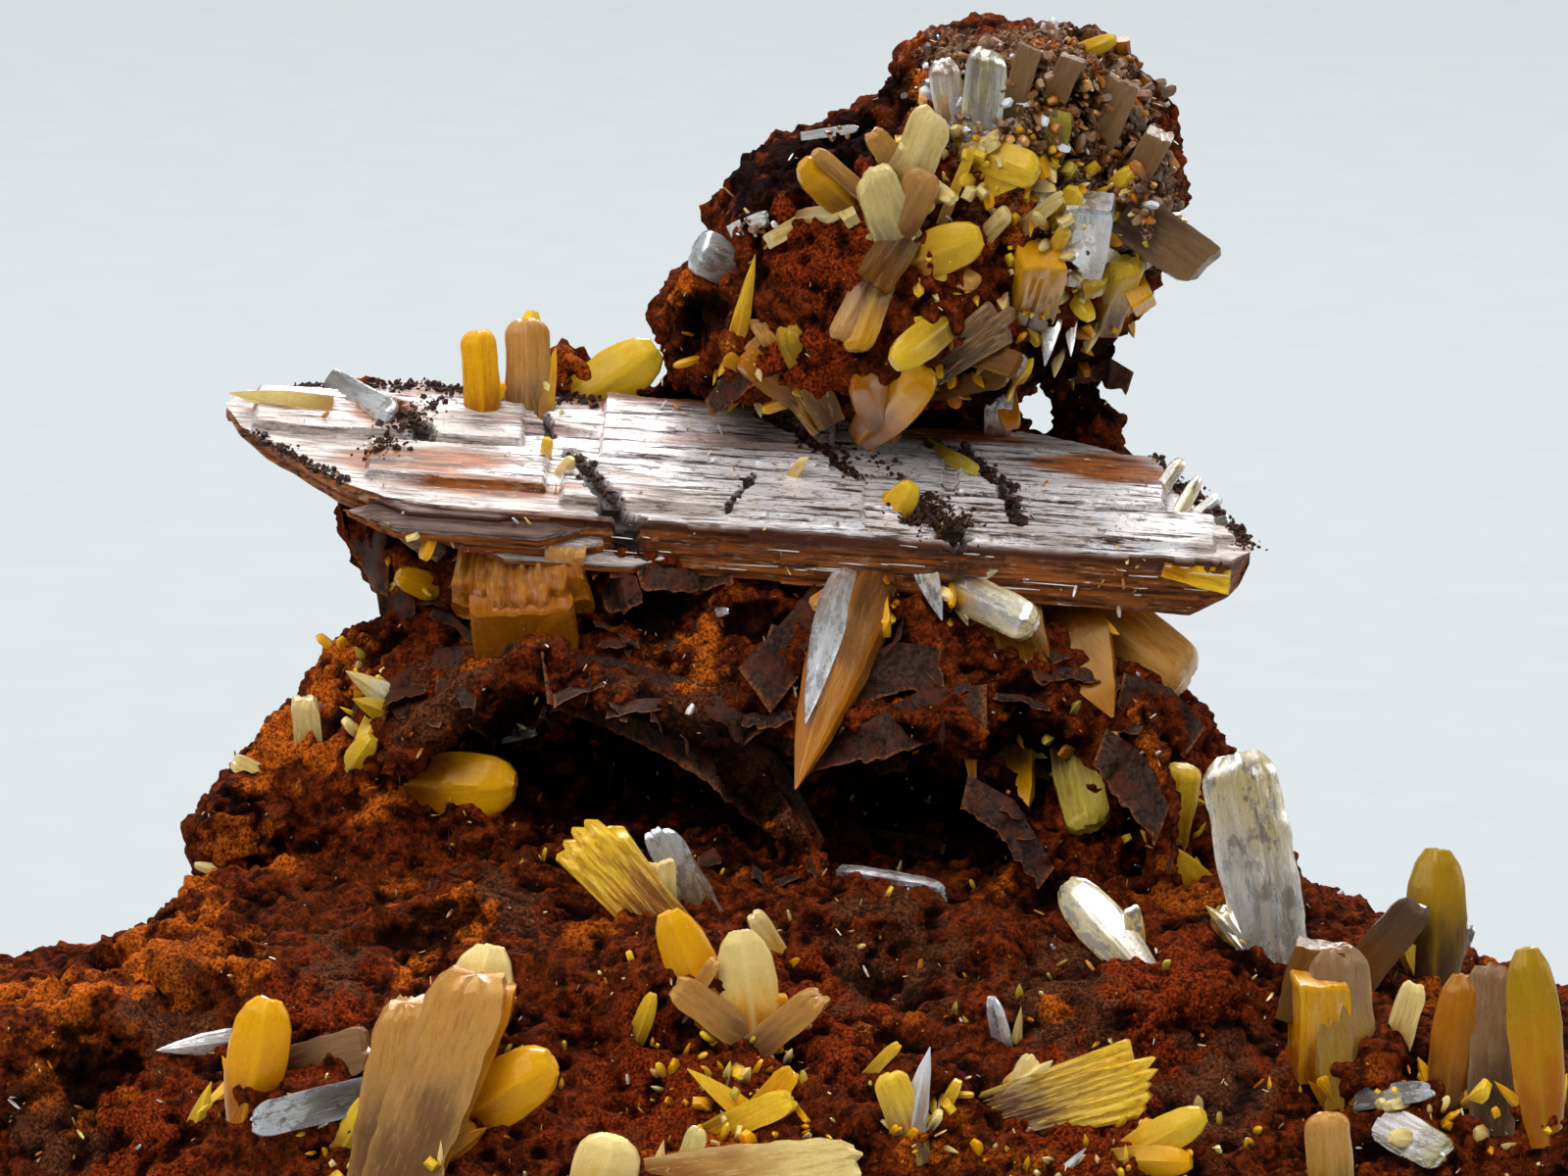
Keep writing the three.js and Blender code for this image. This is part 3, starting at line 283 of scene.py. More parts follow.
def even_rock():
    """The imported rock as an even, rounded mesh in millimetres, finer on the display side."""
    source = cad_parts["limonite_matrix"].data.copy()
    source.transform(Matrix.Scale(1 / MM, 4))
    work = bpy.data.objects.new("rock_work", source)
    bpy.context.scene.collection.objects.link(work)
    remesh = work.modifiers.new("even", "REMESH")
    remesh.mode = "VOXEL"
    remesh.voxel_size = VOXEL
    rounding = work.modifiers.new("rounded", "SMOOTH")
    rounding.iterations = ROUNDING_PASSES
    evaluated = work.evaluated_get(bpy.context.evaluated_depsgraph_get())
    mesh = bpy.data.meshes.new_from_object(evaluated)
    bpy.data.objects.remove(work)
    grown = bmesh.new()
    grown.from_mesh(mesh)
    edges = {edge for face in grown.faces if is_shown(face) for edge in face.edges}
    bmesh.ops.subdivide_edges(grown, edges=list(edges), cuts=1, use_grid_fill=True, smooth=0.4)
    bmesh.ops.triangulate(grown, faces=[face for face in grown.faces if len(face.verts) > 4])
    grown.to_mesh(mesh)
    grown.free()
    return mesh


def is_shown(face):
    """Whether a face of the rock is part of what the display side shows."""
    centre = np.array(face.calc_center_median()) - ORIGIN
    up = centre @ UP
    facing = -(np.array(face.normal) @ AWAY)
    return (abs(centre[0]) < SHOWN_HALF_WIDTH and SHOWN_UP[0] < up < SHOWN_UP[1]
            and facing > SHOWN_FACING)


def mesh_arrays(mesh):
    points = fetched(mesh.vertices, "co", 3)
    normals = fetched(mesh.vertex_normals, "vector", 3)
    corners = fetched(mesh.loops, "vertex_index")
    starts, totals = (fetched(mesh.polygons, key) for key in ("loop_start", "loop_total"))
    faces = [corners[starts[totals == n][:, None] + np.arange(n)] for n in (3, 4)]
    return points, normals, faces


def rock_relief(points):
    """The height of the rock's grain over its smooth form, in millimetres."""
    warped = points + 0.5 * np.stack([noise(points, 1.7, seed) for seed in (71, 72, 73)], axis=1)
    crags = 0.30 * (0.45 - 1.5 * np.abs(fractal(warped, 2.6, 3, 11)))
    knobs = 0.30 * fractal(warped, 1.15, 3, 21, 0.6)
    grain = 0.15 * fractal(points, 0.42, 2, 31, 0.7) + 0.12 * (0.45 - cells(points, 0.38, 6)[0])
    nearest, chosen = cells(points, 0.85, 5)
    pits = -0.30 * (chosen > 0.74) * (1 - smoothstep(0.1, 0.42, nearest))
    return crags + knobs + grain + pits


def grape_relief(points):
    """Rounded, grape-like lumps with deep joints between them."""
    large, small = cells(points, 1.25, 8)[0], cells(points, 0.55, 9)[0]
    return 0.75 * np.sqrt(np.clip(1 - (large / 0.85) ** 2, 0, 1)) + 0.2 * (0.6 - small) - 0.2


def dressed_rock(mesh):
    """Adds the grain to the rock's mesh. Returns its points, faces and look attributes."""
    points, normals, faces = mesh_arrays(mesh)
    shown = display_coordinates(points)
    ragged = fractal(points, 0.9, 3, 3)
    grapes = patches(shown, GRAPE_LUMPS, 0.55 * ragged)
    druse = patches(shown, GREY_DRUSE, -0.55 * ragged)
    # Painted shade: near black in the listed hollows, reaching far back into them.
    black = patches(shown, PAINTED_SHADE_HOLLOWS, 0.55 * ragged, reach=8.0)
    orange = np.maximum(patches(shown, ORANGE_POWDER, 0.9 * ragged - 0.06),
                        0.6 * smoothstep(0.47, 0.60, fractal(points, 4.0, 4, 81)))
    skin = patches(shown, GREY_SKIN, 0.7 * ragged) * (1 - orange)
    red = patches(shown, RED_EARTH, -0.7 * ragged)
    relief = rock_relief(points)
    relief *= 1 - 0.45 * skin
    relief += grapes * (grape_relief(points) - 0.4 * relief)
    relief += 0.28 * orange * (0.5 - cells(points, 0.5, 12)[0])
    relief += druse * (0.30 * (0.45 - cells(points, 0.6, 13)[0]) + 0.1 * noise(points, 0.3, 14))
    settled = points[:, 2] < SETTLED
    relief = np.where(settled, relief * np.clip(points[:, 2], 0, 1) * 0.6, relief)
    points = points + relief[:, None] * normals
    points[:, 2] = np.maximum(points[:, 2], 0)
    # The relief look darkens the colour in the rock's low places: painted shade.
    looks = {
        "relief": smoothstep(-0.4, 0.45, relief), "orange": orange, "skin": skin, "druse": druse,
        "black": black, "red": red,
    }
    return points, faces, looks


def split(points, faces, looks, chosen):
    """The part of a mesh whose faces have their first corner among the chosen points."""
    kept = [part[chosen[part[:, 0]]] for part in faces]
    used = np.unique(np.concatenate([part.ravel() for part in kept]))
    renumber = np.full(len(points), -1)
    renumber[used] = np.arange(len(used))
    return points[used], [renumber[part] for part in kept], {k: v[used] for k, v in looks.items()}


def add_rock(material):
    """The rock in five pieces, which all stand for its one node."""
    points, faces, looks = dressed_rock(even_rock())
    across, up, away = display_coordinates(points)
    high = up > PILLAR_UP
    behind = ~high & (away > BACK_AWAY)
    regions = {
        "rock_head": high & (up > HEAD_UP),
        "rock_pillar": high & (up <= HEAD_UP),
        "rock_back": behind,
        "rock_left": ~high & ~behind & (across < 0),
        "rock_right": ~high & ~behind & (across >= 0),
    }
    for name, chosen in regions.items():
        part_points, part_faces, part_looks = split(points, faces, looks, chosen)
        mesh = new_mesh(name, part_points, part_faces)
        add_attributes(mesh, part_looks)
        add_piece(mesh, material, ["limonite_matrix"])


# ---------------------------------------------------------------- the long lath

LATH_SLOPE = -0.0708                     # it dips to the right by this much per millimetre
LATH_RISE = 19.8                         # height of its front edge at mid length
LATH_TILT = math.radians(34)             # between its face and the line of sight
LATH_ENDS = (-17.4, 14.3)
LATH_RINGS = 430
BLADE_RINGS, BLADE_POINTS = 150, 28      # sections along a blade, and points round each of them
CRACK_DEEP = 0.45
# Its outline and its thickness, place by place along it.
LATH_FRONT = [(-17.4, 4.6), (-16.9, 3.6), (-15.2, 2.3), (-13.7, 0.95), (-12.3, 0.3), (-10.5, 0.0),
              (13.7, 0.0), (14.3, 0.6)]
LATH_BACK = [(-17.4, 4.8), (-16.8, 5.6), (-15.0, 6.0), (-11.7, 6.8), (-9.9, 6.3), (-6.0, 6.5),
             (-0.4, 7.0), (2.1, 6.2), (7.8, 6.3), (11.1, 5.2), (13.4, 2.4), (14.3, 0.8)]
LATH_DEPTH = [(-17.4, 0.15), (-16.0, 0.7), (-12.0, 0.85), (-11.0, 1.25), (-5.2, 1.25), (-4.0, 1.9),
              (12.6, 2.1), (14.3, 0.9)]  # thickness along its front edge
LATH_THIN = 0.85                         # thickness along its back edge
FACE_LEVEL = 0.93                        # above this level a point of the lath is on its face
FACE_POINTS, UNDER_POINTS = 104, 26      # points across its face and across its underside
BACK_POINTS, FRONT_POINTS = 3, 10        # and down its back and its front side

# Strips that step out of the face: from, to, near, far, height.
LATH_STEPS = [
    (-6.9, 2.4, 0.5, 3.0, 0.30), (-5.8, 1.3, 3.0, 6.3, 0.42), (4.2, 13.2, 0.3, 2.2, 0.26),
    (5.2, 11.6, 2.2, 4.9, 0.40), (-16.5, -8.2, 3.5, 5.6, 0.30), (-12.9, -7.4, 1.2, 3.2, 0.22),
    (-3.0, 4.8, 1.4, 4.4, 0.16), (7.5, 13.8, 1.0, 1.7, 0.2), (-10.4, -3.0, 4.4, 5.4, 0.2),
]
# Blades that lie under its front edge at the left: from, to, near, far, top, thickness.
LATH_BLADES = [
    (-13.4, -5.9, -0.9, 0.9, -0.30, 0.5), (-11.6, -4.4, -0.55, 1.6, -0.78, 0.6),
    (-12.8, -7.4, -0.3, 1.2, -0.1, 0.3), (-9.6, -3.4, -0.7, 0.6, -1.25, 0.35),
]
# Cracks and holes across its face: points [along, across], half width.
LATH_CRACKS = [
    ([(-0.9, 5.6), (0.2, 4.9), (0.7, 4.2), (1.5, 3.6), (2.2, 2.7)], 0.17),
    ([(4.3, 5.4), (5.2, 4.7), (5.8, 3.7), (6.7, 2.6), (7.2, 0.9)], 0.19),
    ([(-1.1, 2.6), (-1.35, 1.7), (-1.7, 0.6)], 0.08),
    ([(-6.6, 3.2), (-6.0, 1.7), (-5.2, 0.3), (-4.6, -0.2)], 0.30),
    ([(4.1, 1.3), (4.7, 0.9), (5.2, 0.4)], 0.42),
    ([(-8.2, 6.4), (-7.7, 5.2), (-7.3, 4.2)], 0.12),
    ([(-13.6, 5.5), (-12.2, 4.7), (-11.2, 3.6)], 0.30),
]
# Amber spots, and spots of painted reflection, on its face: along, across, half length, half width.
LATH_AMBER = [(-11.4, 2.2, 3.0, 0.9), (-3.5, 6.4, 4.0, 0.7), (-12.6, 4.6, 1.5, 1.0),
              (9.6, 4.0, 2.4, 0.9), (-9.0, 1.1, 3.5, 0.5), (5.0, 5.9, 2.5, 0.5)]
LATH_PAINTED_GLARE = [(2.6, 2.5, 7.6, 3.2), (-5.0, 3.7, 3.4, 2.2), (-14.3, 4.8, 1.8, 0.9),
              (-11.0, 5.6, 1.6, 0.6), (-9.0, 1.7, 3.2, 0.6), (10.6, 1.7, 3.0, 1.8)]


def lath_basis():
    """Directions along the lath, across its face and out of it."""
    along = unit(ACROSS + LATH_SLOPE * UP)
    across = math.sin(LATH_TILT) * UP + math.cos(LATH_TILT) * AWAY
    across = unit(across - (across @ along) * along)
    return np.stack([along, across, np.cross(along, across)])


LATH_BASIS = lath_basis()


def on_lath(along, across, out):
    """Points on the lath: along its length, across its face from the front edge, and out of it."""
    return place(0, LATH_RISE, 0) + np.stack([along, across, out], axis=-1) @ LATH_BASIS


def interpolated(points, at):
    return np.interp(at, [x for x, _ in points], [y for _, y in points])


def line_distance(along, across, line):
    """Distance on the lath's face to a line through the given points."""
    nearest = np.full(along.shape, 99.0)
    for (x0, y0), (x1, y1) in itertools.pairwise(line):
        run, rise = x1 - x0, y1 - y0
        share = ((along - x0) * run + (across - y0) * rise) / (run * run + rise * rise)
        share = np.clip(share, 0, 1)
        distance = np.hypot(along - x0 - share * run, across - y0 - share * rise)
        nearest = np.minimum(nearest, distance)
    return nearest


def flat_noise(along, across, level, wavelength, seed, octaves=1):
    """Noise over the lath's face, as a grid of the same shape."""
    flat = np.stack([along, across, level + 0 * along], axis=-1).reshape(-1, 3)
    return fractal(flat, wavelength, octaves, seed).reshape(along.shape)


def crack_mask(along, across):
    """1 in the cracks of the lath's face and 0 beside them, with ragged edges."""
    ragged = 1 + 0.7 * flat_noise(along, across, 0, 0.45, 51, 3)
    shift = 0.16 * flat_noise(along, across, 0, 0.7, 54)
    mask = np.zeros_like(along)
    for line, half in LATH_CRACKS:
        distance = line_distance(along + shift, across - shift, line)
        mask = np.maximum(mask, 1 - smoothstep(0.7, 1.25, distance / (half * ragged.clip(0.25))))
    return mask


def step_height(along, across):
    """How far the strips of the lath's face step out of it."""
    waver = 0.25 * flat_noise(along, across, 0, (2.5, 0.8, 1), 61)
    height = np.zeros_like(along)
    for start, end, near, far, top in LATH_STEPS:
        middle, half = (near + far) / 2, (far - near) / 2
        reach = half - np.abs(across + waver - middle)
        ends = np.minimum(along - start, end - along) * 0.5
        height = np.maximum(height, top * smoothstep(-0.04, 0.05, np.minimum(reach, ends)))
    return height


def streaks(along, across):
    """Fine relief that runs along the lath."""
    return (0.040 * flat_noise(along, across, 0, (5.0, 0.55, 1), 62)
            + 0.016 * flat_noise(along, across, 0, (2.6, 0.19, 1), 63)
            + 0.014 * flat_noise(along, across, 0, (0.8, 0.25, 1), 64))


def lath_ring_shares():
    """Places round the lath: share across it, and whether on its face (1) or underneath (0)."""
    face, under = np.linspace(0, 1, FACE_POINTS), np.linspace(1, 0, UNDER_POINTS)
    across = np.concatenate([face, np.ones(BACK_POINTS), under, np.zeros(FRONT_POINTS)])
    back = np.linspace(1, 0, BACK_POINTS + 2)[1:-1]
    front = np.linspace(0, 1, FRONT_POINTS + 2)[1:-1]
    level = np.concatenate([np.ones(FACE_POINTS), back, np.zeros(UNDER_POINTS), front])
    return across, level


def lath_body():
    """The lath's sections, as places along, across and out of it, with its level and its cracks."""
    along = np.linspace(*LATH_ENDS, LATH_RINGS)[:, None]
    share, level = (np.broadcast_to(values, (len(along), len(values)))
                    for values in lath_ring_shares())
    flat = np.concatenate([along, np.zeros_like(along), np.zeros_like(along)], axis=1)
    ragged = 0.16 * fractal(flat, 1.1, 3, 55)[:, None]
    front = interpolated(LATH_FRONT, along) + 0.4 * ragged * smoothstep(-18, -12, -along)
    back = np.maximum(interpolated(LATH_BACK, along) + ragged, front + 0.1)
    across = front + share * (back - front)
    thick = interpolated(LATH_DEPTH, along) * (1 - share) + LATH_THIN * share
    thick = np.minimum(thick, 0.25 + 0.9 * (back - front))
    along = np.broadcast_to(along, across.shape)
    cracks = crack_mask(along, across)
    top = step_height(along, across) + streaks(along, across) - CRACK_DEEP * cracks
    layers = np.stack([along, level * thick, share], axis=-1).reshape(-1, 3)
    shelf = 0.09 * np.sign(noise(layers, (6.0, 0.22, 50), 66)).reshape(along.shape)
    outward = np.where(level < 1, 1 - np.abs(2 * level - 1) * 0.4, 0)
    across = across + np.where(share < 0.5, -1, 1) * outward * (shelf + 0.06)
    out = level * top + (1 - level) * (-thick + 0.5 * streaks(along, across + 7))
    return along, across, out, level, cracks


def lath_spots(along, across, spots, ragged, full, gone):
    """How far each place is inside the spots: 1 up to full times a spot's size, 0 from gone on."""
    inside = np.zeros_like(along)
    for at, up, long, wide in spots:
        distance = np.hypot((along - at) / long, (across - up) / wide) + ragged
        inside = np.maximum(inside, 1 - smoothstep(full, gone, distance))
    return inside


def lath_amber(along, across, level):
    """Where the lath is amber: in spots, near its back edge, and all over its sides."""
    amber = 0.55 * smoothstep(0.12, 0.42, flat_noise(along, across, level, (4.2, 0.8, 2), 67))
    ragged = 0.35 * flat_noise(along, across, level, (2.4, 0.5, 2), 68)
    spots = lath_spots(along, across, LATH_AMBER, ragged, 0.6, 1.1)
    amber = np.maximum(amber * (across > 3.6), spots)
    return np.where(level > FACE_LEVEL, amber, 1)


def lath_shine(along, across, level):
    """Where the face is painted bright and silvery, as a reflection, rather than dull and brown."""
    ragged = 0.5 * flat_noise(along, across, level, (3.0, 0.7, 2), 69, 2)
    shine = lath_spots(along, across, LATH_PAINTED_GLARE, ragged, 0.55, 1.25)
    return np.where(level > FACE_LEVEL, shine, 0)


def lath_rim(across, out):
    """The dark upper edge of the side face that looks to the front."""
    below = smoothstep(0.06, 0.14, -out) * smoothstep(0.60, 0.30, -out)
    return below * (across < 0.4)


def loft_faces(rings, around, first=0):
    """Quads between closed rings, and fans of triangles that close both ends."""
    ring, step = np.meshgrid(np.arange(rings - 1), np.arange(around), indexing="ij")
    following = (step + 1) % around
    a, b = ring * around + step, ring * around + following
    quads = np.stack([a, b, b + around, a + around], axis=-1).reshape(-1, 4) + first
    steps = np.arange(around)
    start, end = rings * around, rings * around + 1
    top = (rings - 1) * around
    fans = np.concatenate([
        np.stack([np.full(around, start), (steps + 1) % around, steps], axis=1),
        np.stack([np.full(around, end), top + steps, top + (steps + 1) % around], axis=1),
    ]) + first
    return quads, fans


def closed_loft(grid):
    """Vertices of a stack of rings with a middle vertex at either end."""
    return np.concatenate([grid.reshape(-1, grid.shape[-1]), grid[:1].mean(1), grid[-1:].mean(1)])


class Lofts:
    """Collects closed lofts, with the looks of their points, that are to be one mesh."""

    def __init__(self):
        self.points, self.faces, self.looks, self.count = [], [], {}, 0

    def add(self, grid, looks):
        points = closed_loft(grid)
        self.faces += loft_faces(*grid.shape[:2], self.count)
        self.points.append(points)
        self.count += len(points)
        for name, values in looks.items():
            self.looks.setdefault(name, []).append(closed_loft(values))

    def mesh(self, name):
        mesh = new_mesh(name, np.concatenate(self.points), self.faces)
        looks = {key: np.concatenate(parts) for key, parts in self.looks.items()}
        flat = {key: values if values.shape[1] == 3 else values[:, 0]
                for key, values in looks.items()}
        add_attributes(mesh, flat)
        return mesh


def lath_blade(start, end, near, far, top, thick):
    """The sections of one blade, as places along, across and out of the lath."""
    along = np.linspace(start, end, BLADE_RINGS)[:, None]
    angle = np.linspace(0, 2 * math.pi, BLADE_POINTS + 1)[:-1]
    taper = np.minimum(1, np.minimum(along - start, end - along) / (0.9 * (far - near)) + 0.03)
    width = (far - near) / 2 * taper
    square = 1 / np.maximum(np.abs(np.cos(angle)), np.abs(np.sin(angle))) ** 0.9
    across = (near + far) / 2 + width * np.cos(angle) * square
    out = top - thick / 2 + thick / 2 * np.minimum(1, taper + 0.3) * np.sin(angle) * square
    along = np.broadcast_to(along, across.shape)
    out = out + np.where(np.sin(angle) > 0, streaks(along, across + 3), 0)
    return along, across, out


def add_lath(material):
    parts = [lath_body()]
    for blade in LATH_BLADES:
        along, across, out = lath_blade(*blade)
        facing = (out > blade[4] - 0.3 * blade[5]).astype(float)
        parts.append((along, across, out, facing, np.zeros_like(along)))
    lofts = Lofts()
    for along, across, out, level, cracks in parts:
        lofts.add(on_lath(along, across, out), {
            "crack": cracks[..., None],
            "amber": lath_amber(along, across, level)[..., None],
            "shine": lath_shine(along, across, level)[..., None],
            "rim": lath_rim(across, out)[..., None],
            "grain": np.stack([across, out, along], axis=-1),
        })
    add_piece(lofts.mesh("long_lath"), material, ["main_lath"], sharp=50)


# ---------------------------------------------------------------- crystal forms

# Each habit: corners of its section and how rounded they are, how deep its ribs are, how far its
# end is notched and slanted, how much its flanks jog in and out, how strong its streaks are, in
# relief and in painted shade and highlight, and its half width and half depth from root to tip.
HABITS = {
    "prism": {"corners": 6, "round": 0.12, "ribs": 0.016, "teeth": 0.02, "slant": 0.25, "jog": 0.03,
              "streaks": 0.5,
              "width": [(0, 0.92), (0.5, 1), (0.90, 0.97), (0.96, 0.82), (1, 0.55)],
              "depth": [(0, 0.92), (0.5, 1), (0.90, 0.95), (0.96, 0.8), (1, 0.5)]},
    "block": {"corners": 4, "round": 0.08, "ribs": 0.035, "teeth": 0.03, "slant": 0.16, "jog": 0.04,
              "streaks": 0.7,
              "width": [(0, 0.95), (0.5, 1), (0.97, 0.98), (1, 0.92)],
              "depth": [(0, 0.95), (0.5, 1), (0.97, 0.98), (1, 0.9)]},
    "slab": {"corners": 4, "round": 0.14, "ribs": 0.018, "teeth": 0.05, "slant": 0.32, "jog": 0.04,
             "streaks": 0.5,
             "width": [(0, 0.88), (0.3, 1), (0.84, 0.96), (0.94, 0.84), (1, 0.62)],
             "depth": [(0, 0.95), (0.6, 1), (0.94, 0.86), (1, 0.5)]},
    "lens": {"corners": 6, "round": 0.22, "ribs": 0.006, "teeth": 0.012, "slant": 0.12, "jog": 0.02,
             "streaks": 0.1,
             "width": [(0, 0.55), (0.15, 0.74), (0.38, 0.95), (0.6, 1), (0.8, 0.91), (0.92, 0.72),
                       (1, 0.42)],
             "depth": [(0, 0.75), (0.4, 1), (0.75, 0.95), (0.92, 0.74), (1, 0.42)]},
    "spear": {"corners": 6, "round": 0.05, "ribs": 0.012, "teeth": 0.0, "slant": 0.0, "jog": 0.02,
              "streaks": 0.35,
              "width": [(0, 0.7), (0.25, 1), (0.5, 0.88), (0.8, 0.46), (1, 0.03)],
              "depth": [(0, 0.8), (0.25, 1), (0.5, 0.9), (0.8, 0.5), (1, 0.03)]},
    "tooth": {"corners": 4, "round": 0.1, "ribs": 0.02, "teeth": 0.0, "slant": 0.0, "jog": 0.02,
              "streaks": 0.35,
              "width": [(0, 1), (0.45, 0.86), (0.8, 0.42), (1, 0.04)],
              "depth": [(0, 1), (0.45, 0.9), (0.8, 0.5), (1, 0.05)]},
}
ROOT_SUNK = 1.1                # how far a crystal's root starts below the rock
RINGS, AROUND = 30, 40         # sections along a large crystal, and points round each of them
SHEAF_RINGS, SHEAF_AROUND = 40, 128
NOTCH = 0.3                    # width of the notches at a crystal's end
YOUNG_ABOVE = 0.9              # crystals wider than this have small ones round their foot
# How a crystal stands, unless its line says otherwise: turned about its axis in degrees, tip nearer
# than the root, tip off the surface, root into the surface as a share of its thickness, blades of a
# sheaf, depth of the root, and whether small crystals stand round its foot.
STANCE = {"roll": 0.0, "lean": 0.5, "lift": 0.35, "settled": 0.25, "blades": 0, "away": None,
          "young": True}
# silver, a near white, also paints reflections: on the slabs that stand for glare, and on the
# glints.
COLOURS = {
    "silver": (0.80, 0.80, 0.79), "ivory": (0.97, 0.72, 0.26), "lemon": (0.96, 0.58, 0.030),
    "yellow": (0.90, 0.40, 0.004), "orange": (0.68, 0.225, 0.002), "amber": (0.44, 0.135, 0.003),
    "olive": (0.46, 0.245, 0.008), "smoke": (0.10, 0.052, 0.030), "mauve": (0.31, 0.165, 0.075),
    "umber": (0.18, 0.058, 0.005), "tan": (0.62, 0.29, 0.065), "green": (0.52, 0.38, 0.045),
}
# Root and tip colour of each tint, where a crystal doesn't name its own.
TINTS = {"yellow": ["olive yellow", "amber yellow", "olive lemon", "yellow yellow"],
         "pale": ["tan ivory", "mauve ivory", "tan lemon", "smoke ivory"],
         "brown": ["umber amber", "smoke tan", "umber yellow"],
         "olive": ["olive green", "smoke green", "olive lemon"],
         "druse": ["umber mauve", "umber umber", "smoke umber", "umber amber", "smoke mauve",
                   "smoke smoke", "umber umber", "mauve tan", "umber mauve", "smoke silver"],
         "glint": ["orange ivory", "amber tan", "tan ivory", "orange orange", "ivory silver"],
         "edge_glint": ["silver silver"], "crust": ["smoke smoke"]}
PLAIN_BELOW = 10               # crystals of fewer rings than this are too small for ribs
KNOB_FOOT = 24.2               # above this height the crystals are on the knob
# Painted shade: the share of their brightness that crystals on the knob keep.
KNOB_PAINTED_SHADE = 0.74
RIM_HIGHLIGHT = 0.35                # how much a crystal is lightened at its edges and end: painted highlight


class Growth(Lofts):
    """Collects crystals that are to be one mesh."""

    def __init__(self, tint):
        super().__init__()
        self.tint = tint
        self.dust = 1.0            # how much of its brightness a crystal keeps under painted shade

    def looks_of(self, local, share, edge, own, colours, streaks=1.0):
        """Grain, colours and height of a crystal whose rings are at these shares of its length."""
        names = colours or str(RANDOM.choice(TINTS[self.tint])).split()
        # Painted shade times a random tone.
        shade = self.dust * RANDOM.uniform(0.82, 1.0)
        root, tip = (np.array(COLOURS[name]) * shade for name in names)
        return {
            "grain": local + own,
            "root": np.broadcast_to(root, local.shape),
            "tip": np.broadcast_to(tip, local.shape),
            "height": np.broadcast_to(share, local.shape[:2])[..., None],
            "edge": np.broadcast_to(edge, local.shape[:2])[..., None],
            "streak": np.full((*local.shape[:2], 1), streaks),
        }


def section(corners, rounding, angle):
    """A polygon across the crystal, one unit either way, and how near each point is to a corner."""
    step = 2 * math.pi / corners
    turned = (angle + step / 2) % step - step / 2
    radius = (1 - rounding) / np.cos(turned) + rounding
    x, y = radius * np.cos(angle), radius * np.sin(angle)
    return x / np.abs(x).max(), y / np.abs(y).max(), (np.abs(turned) / (step / 2)) ** 7


def crystal_frame(root, tip, facing):
    """Directions across a crystal, towards what it faces, and along it."""
    axis = unit(tip - root)
    side = unit(np.cross(axis, facing))
    return np.stack([side, np.cross(side, axis), axis])


def ribbed(x, y, z, depth, own, pitch=0.2):
    """Relief across the crystal's faces in ribs that run along it."""
    spots = np.stack([x + own[0], np.sign(y) * 3 + own[1], z * 0.1 + own[2]], axis=-1)
    return depth * fractal(spots.reshape(-1, 3), pitch, 2, 91).reshape(x.shape)


def grow(growth, root, tip, width, thick, habit, facing, rings=RINGS, around=AROUND,
         colours=None):
    """One crystal from root to tip, with fine ribs along its length and a notched, slanted end."""
    form = HABITS[habit]
    length = np.linalg.norm(tip - root)
    share = np.linspace(0, 1, rings)[:, None] ** 0.85
    angle = np.linspace(0, 2 * math.pi, around, endpoint=False)
    x_unit, y_unit, corner = section(form["corners"], form["round"], angle)
    own = RANDOM.uniform(0, 200, 3)
    wide, deep = interpolated(form["width"], share), interpolated(form["depth"], share)
    x = width / 2 * x_unit * wide
    z = share * length + 0 * x
    y = thick / 2 * y_unit * deep
    if rings >= PLAIN_BELOW:
        flank = [np.sign(x_unit) * 9 + own[0] + 0 * share, own[1] + z, own[2] + 0 * z]
        jog = np.tanh(4 * noise(np.stack(flank, axis=-1).reshape(-1, 3), 0.8, 92))
        x = x * (1 + form["jog"] * jog.reshape(x.shape))
        y = y * (1 + ribbed(width / 2 * x_unit + 0 * share, y, z, 4 * form["ribs"], own))
    notches = max(2, round(width / NOTCH))
    placed = (x_unit + 1) / 2 * notches
    notch = np.minimum(placed.astype(int), notches - 1)
    teeth = RANDOM.uniform(0, 1, notches)[notch] + 0.5 * np.abs(placed % 1 - 0.5)
    z = z * (1 - form["teeth"] * teeth * smoothstep(0.7, 1, share))
    slant = form["slant"] * RANDOM.uniform(-1, 1, 2)
    z = z + (slant[0] * x + slant[1] * y) * smoothstep(0.6, 1, share)
    x = x + RANDOM.normal(0, 0.02) * length * share ** 2
    local = np.stack([x, y, z], axis=-1)
    edge = np.maximum(corner, smoothstep(0.9, 1.0, share))
    growth.add(root + local @ crystal_frame(root, tip, facing),
               growth.looks_of(local, share, edge, own, colours, form["streaks"]))


